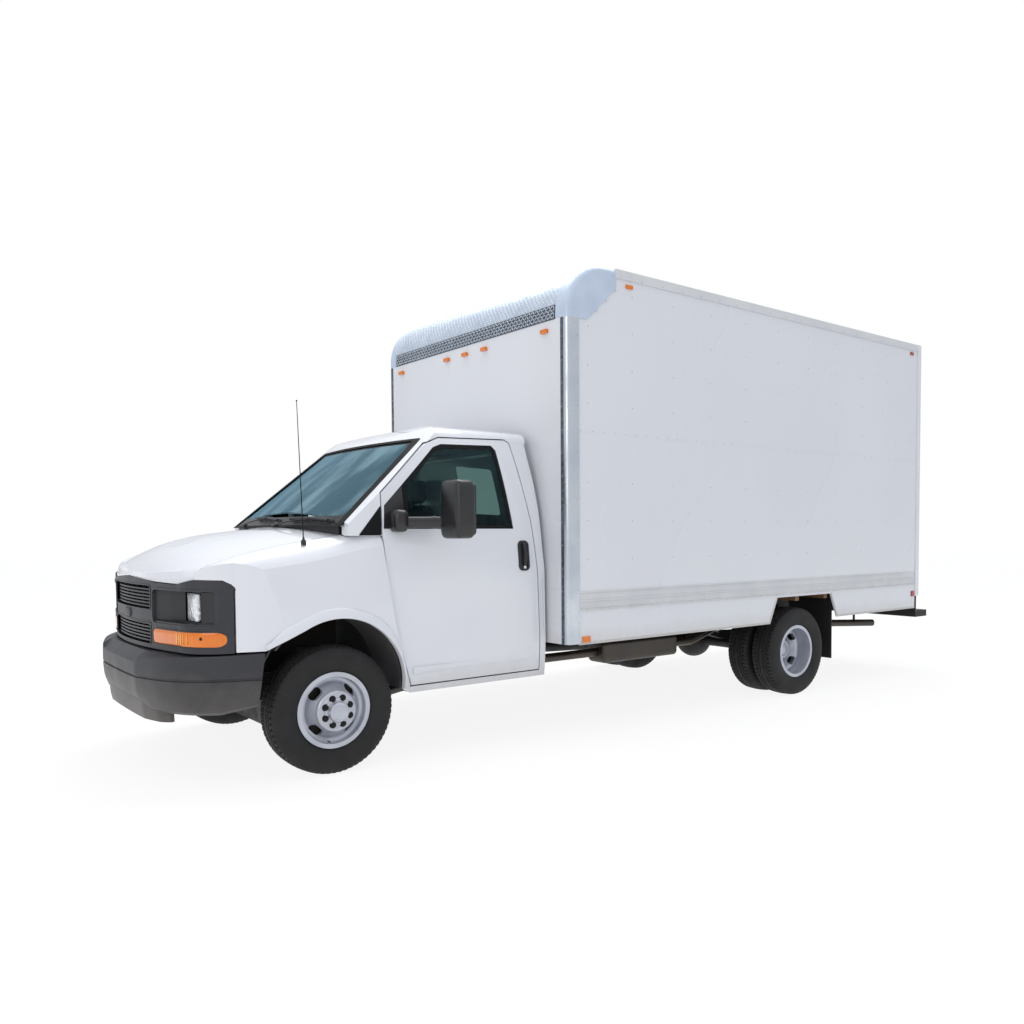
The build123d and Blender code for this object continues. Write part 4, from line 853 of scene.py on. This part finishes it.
# The bare boss in the middle of the grille's bar, where a badge would be
boss_outline = rounded((-62, 903), (62, 955), 22, 8)
boss_rows = [upright((boss_outline - [0, 929]) * share + [0, 929], x)
             for share, x in ((1.0, -838), (1.0, -853), (0.95, -856.5), (0.8, -858), (0.4, -858.5))]
piece("grille_boss", closed(truck(np.array(boss_rows))), charcoal, smooth=50)
# Upright ribs behind the grille's bars
ribs = [block((nose_x(y) + 22, y - 2, low), (nose_x(y) + 42, y + 2, high))
        for low, high in ((774, 890), (968, 1096)) for y in np.linspace(-330, 330, 7)]
piece("grille_ribs", merged(ribs), black_plastic, smooth=0)


def hood_lip():
    """The hood's front edge: a white face that curls down from its top to just over the grille's surround."""
    y = np.linspace(-823, 823, 121)
    across = np.abs(y)
    # Half widths, with the hood's own front edge there: how far back it lies and how high it is
    knots = [0, 200, 400, 500, 600, 650, 700, 750, 800, 823]
    back = np.interp(across, knots, [-790, -786, -770, -755, -733, -720, -708, -686, -651, -636])
    top = np.interp(across, knots, [1165, 1163, 1179, 1187, 1196, 1199, 1203, 1209, 1215, 1218])
    foot = np.interp(across, [0, 430, 840], [1139, 1118, 1110]) + 5
    front = front_x(y)
    x = [back + 3, back - 4, (back * 0.45 + front * 0.55), front + 16, front + 9, front + 10, back, back + 3]
    z = [top - 3, top + 1.2, top * 0.8 + foot * 0.2 + 2, top * 0.45 + foot * 0.55, foot + 9, foot, foot + 4, foot + 9]
    return swept([np.stack([a, y, b], 1) for a, b in zip(x, z)])


piece("hood_lip", hood_lip(), cab_enamel, "hood", smooth=40)

# The dark radiator and its shroud behind the grille
radiator = block((-630, -380, 760), (-600, 380, 1100))
piece("radiator", radiator, black_nuts, smooth=0, bevel=0.004)


def bumper():
    """
    The bumper's cover: a closed profile carried along a plan line. The line is straight across the middle,
    breaks at a crease on each side and curves back to the wheel arch; the profile has a padded top, a groove
    under it and a face that leans in towards its foot. The top drops between the creases.
    """
    crease = 392
    # The flank's line: a loose chain of points, evened out and smoothed away from its ends
    flank = resampled([(-915, crease), (-889, 500), (-857, 620), (-812, 735), (-740, 838), (-640, 910), (-520, 966),
                       (-408, 1002)], 60, loop=False)
    for _ in range(30):
        flank[1:-1] = (flank[:-2] + flank[2:]) / 2
    centre = np.column_stack([np.full(21, -915.0), np.linspace(-crease, crease, 21)])
    centre[:, 0] -= 8 * (1 - (centre[:, 1] / crease) ** 2)
    line = np.concatenate([flank[::-1] * [1, -1], centre[1:-1], flank])[::-1]
    inward = leftward(line)
    inward *= np.sign((inward * (np.array([-300.0, 0]) - line)).sum(1))[:, None]
    # Each corner of the profile: how deep it lies, what its height is told from, and its height from there
    profile = [(84, "shelf", 0), (60, "shelf", 0), (12, "top", 0), (4, "top", -3), (1, "top", -10), (0, "top", -24),
               (0, "groove", 9), (9, "groove", 6), (9, "groove", -3), (0, "groove", -6), (2, "ground", 560),
               (6, "ground", 520), (14, "ground", 488), (24, "ground", 466), (44, "ground", 450), (84, "ground", 452)]
    y = np.abs(line[:, 1])
    top = 690 + 26 * ramp(y, crease, crease + 24) + 26 * ramp(y, 420, 1000)
    groove = 597 + 6 * ramp(y, crease, crease + 500)
    sag = 38 * ramp(y, 400, 510) * ramp(y, 1000, 910)
    rings = []
    for deep, origin, height in profile:
        z = {"shelf": np.maximum(top, 738), "top": top + height, "groove": groove + height,
             "ground": height - sag * ramp(height, 580, 470)}[origin]
        # The ends lean forward towards their foot
        lean = ramp(line[:, 0], -520, -410) * (np.minimum(z, 742) - 742) * 0.14
        rings.append(np.column_stack([line[:, 0] + inward[:, 0] * deep + lean, line[:, 1] + inward[:, 1] * deep, z]))
    cover = swept(rings)
    # The air dam hangs under the middle, along the same line, and curls back at its ends
    across = np.linspace(-598, 598, 61)
    order = np.argsort(line[:, 1])
    dam = np.column_stack([np.interp(across, line[order, 1], line[order, 0]) + 33, across])
    dam[:, 0] += 30 * ramp(np.abs(across), 530, 598) ** 2
    rows = ((0, 458), (4, 400), (14, 354), (30, 356), (26, 458))
    return merged([cover, swept([raised(dam + [deep, 0], z) for deep, z in rows])])


cover = piece("bumper_cover", bumper(), charcoal, smooth=14)
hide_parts("front_bumper")

# ---- Van body ----
NOSE_R = 330.0
# The front wall, the roof and the foot of the brow; the skin and the rails' faces; the back edge; the skirts' foot
FRONT, TOP, BAND_Z = 1520.0, 3175.0, 2795.0
# The face of the flanges that stand on the front wall
FLANGE_X = FRONT - 3.5
SKIN_Y, RAIL_Y, BODY_REAR, SKIRT_Z = 1211.0, 1219.0, 5880, 632
# Rivets stand on a grid of 4 inches and its multiples
RIVET_PITCH = 101.6


def on_nose(reach, y, proud):
    """The van's rounded brow: up the front from the band, round a quarter circle, then back along the roof."""
    straight, quarter = TOP - NOSE_R - BAND_Z, NOSE_R * np.pi / 2
    angle = np.clip((reach - straight) / NOSE_R, 0, np.pi / 2)
    rise = np.minimum(reach, straight)
    back = np.maximum(reach - straight - quarter, 0)
    x = FRONT + NOSE_R - (NOSE_R + proud) * np.cos(angle) + back
    z = BAND_Z + rise + (NOSE_R + proud) * np.sin(angle)
    return truck(np.stack([x, y, z], -1))


def plate_bars(u_low, u_high, v_low, v_high, pitch, length, width, tall, lay):
    """Tread plate: low pointed bars that lean left and right by turns, on a diagonal lattice."""
    rows = np.arange(u_low + pitch / 2, u_high, pitch)
    columns = np.arange(v_low + pitch / 2, v_high, pitch)
    u, v = np.meshgrid(rows, columns, indexing="ij")
    lean = np.where((np.arange(len(rows))[:, None] + np.arange(len(columns))[None, :]) % 2, 1, -1).ravel()
    u, v = u.ravel(), v.ravel()
    # One bar: a pointed outline at its foot and a shorter ridge on top, as (along, across, height)
    bar = np.array([(-1, 0, 0), (-0.4, 1, 0), (0.4, 1, 0), (1, 0, 0), (0.4, -1, 0), (-0.4, -1, 0),
                    (-0.5, 0, 1), (0.5, 0, 1)], float) * [length / 2, width / 2, tall]
    cos, sin = np.cos(np.pi / 4), np.sin(np.pi / 4) * lean[:, None]
    du = bar[:, 0] * cos - bar[:, 1] * sin
    dv = bar[:, 0] * sin + bar[:, 1] * cos
    points = lay(u[:, None] + du, v[:, None] + dv, np.broadcast_to(bar[:, 2] - 0.3, du.shape))
    faces = np.array([(0, 1, 6, 6), (1, 2, 7, 6), (2, 3, 7, 7), (3, 4, 7, 7), (4, 5, 6, 7), (5, 0, 6, 6)])
    every = faces[None] + 8 * np.arange(len(u))[:, None, None]
    lists = [[k for n, k in enumerate(face) if k not in face[:n]] for face in every.reshape(-1, 4).tolist()]
    return points.reshape(-1, 3), lists


fine = plate_bars(104, 700, -1090, 1090, 21, 17, 4.5, 1.6, on_nose)
piece("brow_tread", fine, tread_sheet, smooth=0)
# The darker strip of coarse plate between the front wall and the brow
strip_rows = [on_nose(np.full(2, reach), np.array([-1092.0, 1092.0]), proud)
              for reach, proud in ((2, 0.2), (2, 4), (96, 4), (96, 0.2))]
piece("brow_strip", closed(np.array(strip_rows).transpose(1, 0, 2)), dark_plate, smooth=0)
coarse = plate_bars(6, 94, -1088, 1088, 22, 27, 8, 2.6, lambda u, v, h: on_nose(u, v, h + 4.2))
piece("brow_strip_bars", coarse, tread_sheet, smooth=0)


def domes(spots, outward, radius=5.0, tall=2.4):
    """Rivet heads: two rings and a tip on each spot, turned to face outward."""
    outward = unit(np.asarray(outward, float))
    side = unit(np.cross(outward, [0.3, 0.2, 1.0]))
    third = np.cross(outward, side)
    turn = circle(8)
    ring = np.cos(turn)[:, None] * side + np.sin(turn)[:, None] * third
    one = np.concatenate([ring * radius, ring * radius * 0.72 + outward * tall * 0.75, [outward * tall]]) / 1000
    points = truck(spots)[:, None] + one
    n = np.arange(8)
    faces = [[a, (a + 1) % 8, 8 + (a + 1) % 8, 8 + a] for a in n] + [[8 + a, 8 + (a + 1) % 8, 16] for a in n]
    every = [[17 * k + i for i in face] for k in range(len(spots)) for face in faces]
    return points.reshape(-1, 3), every


for side, word in SIDES:
    face, rail_face = side * SKIN_Y, side * RAIL_Y
    spots = [(x, face, z) for x in np.arange(1700, BODY_REAR - 20, 4 * RIVET_PITCH) for z in
             (2246, 2500, 2754, 3008, 1720, 1466, 1202) if not (x < 1900 and z > 2780)]
    seam = [(x, face, 2060) for x in np.arange(1640, BODY_REAR - 10, RIVET_PITCH)]
    # The sheets lap along the seam
    lap = block((1621, face, 2048), (BODY_REAR - 1, side * (SKIN_Y + 1.2), 2061))
    top = [(x, rail_face, 3128) for x in np.arange(1990, BODY_REAR - 20, 2 * RIVET_PITCH)]
    rail = [(x, rail_face, 868) for x in np.arange(1680, BODY_REAR - 20, 2 * RIVET_PITCH)]
    post = [(1604, rail_face, z) for z in np.arange(700, 2780, 1.5 * RIVET_PITCH)]
    low = [(x, face, SKIRT_Z + 18) for x in np.arange(1760, BODY_REAR - 20, 8 * RIVET_PITCH)
           if not 3600 < x < 4620]
    rivets = merged([domes(some, (0, side, 0), radius) for some, radius in
                     ((spots, 4.6), (seam, 4.4), (top + rail + post + low, 4.6))])
    piece(f"side_rivets_{word}", rivets, rivet_metal, smooth=0)
    piece(f"side_seam_{word}", lap, van_sheet, smooth=0)
    # The skirts' bright bottom trim, an angle folded under the edge, with a slope at the cut-out
    trims = []
    ahead = [(1620, SKIRT_Z), (3641, SKIRT_Z), (3737, 842)]
    behind = [(4481, 842), (4577, SKIRT_Z), (BODY_REAR, SKIRT_Z)]
    for line in (ahead, behind):
        points = resampled(line, 40, loop=False)
        up = leftward(points)
        rows = [(points + up * rise, SKIN_Y + out) for rise, out in ((0, 0.2), (0, 3.0), (17, 2.0), (18, 0.2))]
        trims.append(swept([np.column_stack([p[:, 0], np.full(len(p), side * y), p[:, 1]]) for p, y in rows]))
    piece(f"skirt_trim_{word}", merged(trims), rail_paint, smooth=0)
    # A dark riveted flange where each corner post meets the front wall
    flange = block((FRONT - 0.6, side * 1149, 640), (FLANGE_X, side * 1176, BAND_Z))
    corner = np.column_stack([1562 - 42.8 * np.sin(np.linspace(0, np.pi / 2, 12)),
                              1177 + 42.8 * np.cos(np.linspace(0, np.pi / 2, 12))])
    clad = np.concatenate([[(1619.5, RAIL_Y + 0.8)], corner, [(FRONT - 0.8, 1150)]]) * [1, side]
    piece(f"post_cladding_{word}", plan_sheet(clad, 642, 2794, 0.6), extrusion, smooth=30)
    spots = [(FLANGE_X, side * 1163, z) for z in np.arange(690, 2780, 1.5 * RIVET_PITCH)]
    pins = domes(spots, (-1, 0, 0), 4.6)
    piece(f"post_flange_{word}", flange, dark_plate, smooth=0, bevel=0.0006)
    piece(f"post_flange_rivets_{word}", pins, rivet_metal, smooth=0)
    bolts = [(1560 + 52 * n, side * 1219.3, 2815) for n in (1, 2)]
    bolts += [(1775 + 43 * n, side * 1219.3, 2865 + 41 * n) for n in (0, 2, 4)]
    bolts += [(1925, side * 1219.3, z) for z in (3060, 3120)]
    piece(f"casting_bolts_{word}", domes(bolts, (0, side, 0), 8, 3), casting, smooth=0)

# Small bare cover plates low on the front wall
covers = [block((FRONT - 3, side * 1060 - 50, z), (FRONT + 0.5, side * 1060 + 50, z + tall)) for side in (-1, 1)
          for z, tall in ((760, 60), (1010, 190))]
piece("wall_covers", merged(covers), van_sheet, smooth=0, bevel=0.001)

# ---- Back of the van body: shutter slats, latch, strap, buffers, step ----
SLATS, SLAT_TALL, SLAT_GAP = 10, 200.0, 6
slat_feet = 952 + SLAT_TALL * np.arange(SLATS) + SLAT_GAP / 2
slats = [block((5919.5, -1140, low), (5924, 1140, low + SLAT_TALL - SLAT_GAP)) for low in slat_feet]
piece("shutter_slats", merged(slats), van_sheet, smooth=0, bevel=0.0015)
latch = [block((5923, -60, 985), (5930, 60, 1065)), block((5929, -10, 990), (5936, 10, 1060)),
         block((5923, -300, 1000), (5931, -160, 1016)), block((5923, 160, 1000), (5931, 300, 1016))]
piece("shutter_latch", merged(latch), zinc, smooth=0, bevel=0.002)
strap = tube(truck([(5927, 420, 1010), (5934, 420, 990), (5936, 420, 965), (5934, 420, 945)]), 0.012, 10, 0.25)
piece("pull_strap", strap, weatherstrip)
buffers = [block((5940, side * 1150 - 20, 1020), (5948, side * 1150 + 20, 1060)) for side in (-1, 1)]
piece("frame_buffers", merged(buffers), flap_rubber, smooth=0, bevel=0.003)
treads = plate_bars(5958, 6142, -1180, 1180, 30, 24, 7, 2.0,
                    lambda u, v, h: truck(np.stack([u, v, 600 + h], -1)))
piece("step_tread", treads, chassis_enamel, smooth=0)

# ---- Cab inside ----
def taper_back(points):
    """A backrest: narrower at its top, with a hollow down its middle and full side bolsters."""
    x, y, z = points[..., 0], points[..., 1], points[..., 2]
    hollow = np.where(x < 0, 0.55 + 0.45 * y**2, 1.0)
    return np.stack([x * hollow, y * (1 - 0.10 * np.clip(z, 0, 1)), z], -1)


def hollow_seat(points):
    """A seat cushion: its top dips along the middle, and its front edge rolls over."""
    x, y, z = points[..., 0], points[..., 1], points[..., 2]
    return np.stack([x, y, np.where(z > 0, z * (0.72 + 0.28 * y**2), z)], -1)


def leaned(shape, angle, pivot):
    """A shape tilted back about an axis across the truck."""
    points, faces = shape
    turn = np.array(Matrix.Rotation(angle, 3, "Y"))
    centre = truck(pivot)
    return (points - centre) @ turn.T + centre, faces


seats = []
for y in (-420, 420):
    seats.append(superbox((965, y, 932), (243, 243, 68), 3.6, 20, 48, hollow_seat))
    back = superbox((1250, y, 1290), (62, 240, 328), 3.8, 24, 48, taper_back)
    seats.append(leaned(back, np.radians(10), (1210, y, 1000)))
    seats.append(superbox((1326, y, 1705), (42, 128, 92), 3.0))
made = piece("cab_seats", merged(seats), seat_cloth, smooth=60)
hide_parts("seats")
bases = [block((800, y - 200, 620), (1130, y + 200, 866)) for y in (-420, 420)]
posts = [tube(truck([(1318, y + s * 60, 1560), (1322, y + s * 60, 1640)]), 0.006, 10) for y in (-420, 420)
         for s in (-1, 1)]
piece("seat_bases", merged(bases), vinyl, smooth=0, bevel=0.02)
piece("headrest_posts", merged(posts), zinc)
visors = [superbox((800, y, 1965), (14, 190, 62), 4.0) for y in (-330, 330)]
piece("sun_visors", merged(visors), headliner)
glass_box = superbox((640, 0, 1870), (16, 120, 34), 3.0)
stalk = tube(truck([(640, 0, 1880), (660, 0, 1950)]), 0.006, 8)
piece("inner_mirror", merged([glass_box, stalk]), black_plastic)
for side, word in SIDES:
    # The door's inner trim: a panel under the glass with an armrest and a grab handle
    trim_line = softened([(520, 520), (1400, 520), (1404, 1300), (1230, 1380), (500, 1380), (490, 900)], 60, 120)
    panel = sheet(trim_line, side_lay(side), 62, 8)
    rest = superbox((980, side * 905, 1010), (200, 26, 34), 3.4)
    piece(f"door_trim_{word}", merged([panel, rest]), vinyl, f"door_{word}")
sheet_line = softened([(905, 1510), (1180, 1500), (1150, 1800), (880, 1810)], 3, 80)
piece("window_sheet", sheet(sheet_line, side_lay(-1), 14, 0.6), paper, "door_left")

# ---- Under the body: springs and drums ----
leaves = []
for side in (-1, 1):
    for n, half in enumerate((560, 470, 380, 290, 200)):
        x = np.linspace(-half, half, 15)
        # Each leaf lies 9 mm over the one below, and all bend up along one parabola
        z = 457 + n * 9 + (x / 620) ** 2 * 117
        ring = [np.column_stack([WHEELBASE + x, np.full(15, side * 505 + dy), z + dz])
                for dy, dz in ((-37, 0), (37, 0), (37, 7), (-37, 7))]
        leaves.append(swept(ring))
piece("spring_leaves", merged(leaves), chassis_enamel, smooth=0)
drums = [closed(lathe([(0.060, 0), (0.150, 0), (0.156, 0.012), (0.156, 0.085), (0.148, 0.092), (0.060, 0.092)],
                      truck((WHEELBASE, side * 700, WHEEL_Z)), (0, side, 0), 48)) for side in (-1, 1)]
piece("brake_drums", merged(drums), iron)


# ---- Floor, light and camera ----
def staging():
    """A pale floor that shows white to the camera and still takes the truck's shadow."""
    bpy.ops.mesh.primitive_plane_add(size=120, location=(0, 0, -0.002))
    ground = bpy.context.object
    ground.name = "studio_floor"
    material = bpy.data.materials.new("pale_floor")
    tree = blank_tree(material)
    path = add(tree, "LightPath")
    seen = path.outputs["Is Camera Ray"]
    for kind in ("Glossy", "Transmission"):
        seen = add(tree, "Math", {0: seen, 1: path.outputs[f"Is {kind} Ray"]}, operation="MAXIMUM").outputs[0]
    share = add(tree, "Math", {0: seen, 1: 0.84}, operation="MULTIPLY")
    matt = add(tree, "BsdfDiffuse", {"Color": srgb("E6E6E6")})
    glow = add(tree, "Emission", {"Color": (1, 1, 1, 1), "Strength": 1.05})
    both = add(tree, "MixShader", {0: share.outputs[0], 1: matt.outputs[0], 2: glow.outputs[0]})
    add(tree, "OutputMaterial", {"Surface": both.outputs[0]})
    ground.data.materials.append(material)


def sky():
    """White to the camera; a cool overcast dome, brighter overhead, as light and in reflections."""
    world = bpy.data.worlds.new("studio")
    bpy.context.scene.world = world
    tree = blank_tree(world)
    path = add(tree, "LightPath")
    way = add(tree, "TexCoord").outputs["Generated"]
    up = add(tree, "SeparateXYZ", {"Vector": way}).outputs["Z"]
    light = add(tree, "Background", {"Color": srgb("F1F4FA"), "Strength": ranged(tree, up, (0, 1), (0.66, 1.15))})
    plain = add(tree, "Background", {"Color": (1, 1, 1, 1), "Strength": 1.0})
    both = add(tree, "MixShader", {0: path.outputs["Is Camera Ray"], 1: light.outputs[0], 2: plain.outputs[0]})
    add(tree, "OutputWorld", {"Surface": both.outputs[0]})


def lamp(name, place, target, size, power, tint="FFFFFF"):
    """A soft square lamp that faces a point."""
    light = bpy.data.lights.new(name, "AREA")
    light.energy, light.size, light.color = power, size, srgb(tint)[:3]
    holder = bpy.data.objects.new(name, light)
    holder.location = place
    holder.rotation_euler = (Vector(target) - Vector(place)).to_track_quat("-Z", "Y").to_euler()
    bpy.context.scene.collection.objects.link(holder)


def camera():
    """The photograph's viewpoint: the fitted place, heading, tilt and roll, with a small shift."""
    focal, centre_x, centre_y, size = 880.571, 580.168, 569.438, 1024
    yaw, pitch, roll = -0.695, -0.043, -0.004
    ahead = Vector((-np.sin(yaw) * np.cos(pitch), np.cos(yaw) * np.cos(pitch), np.sin(pitch)))
    right = Vector((np.cos(yaw), np.sin(yaw), 0))
    upward = right.cross(ahead)
    tilted = right * np.cos(roll) + upward * np.sin(roll)
    raised = upward * np.cos(roll) - right * np.sin(roll)
    data = bpy.data.cameras.new("camera")
    data.sensor_width = 36
    data.lens = focal / size * 36
    data.shift_x = (size / 2 - centre_x) / size
    data.shift_y = (centre_y - size / 2) / size
    data.clip_end = 300
    holder = bpy.data.objects.new("camera", data)
    turn = Matrix((tilted, raised, -ahead)).transposed()
    holder.matrix_world = Matrix.Translation(truck((-2127.2, -5715.4, 1391.5)).tolist()) @ turn.to_4x4()
    bpy.context.scene.collection.objects.link(holder)
    bpy.context.scene.camera = holder


staging()
sky()
lamp("overhead", (1.0, 1.5, 8.0), (0, 0, 1), 7, 520)
lamp("front_fill", (-9.0, -4.0, 4.0), (-1, 0, 1.2), 4, 90, "FFF6EC")
camera()
bpy.context.scene.view_settings.view_transform = "Standard"
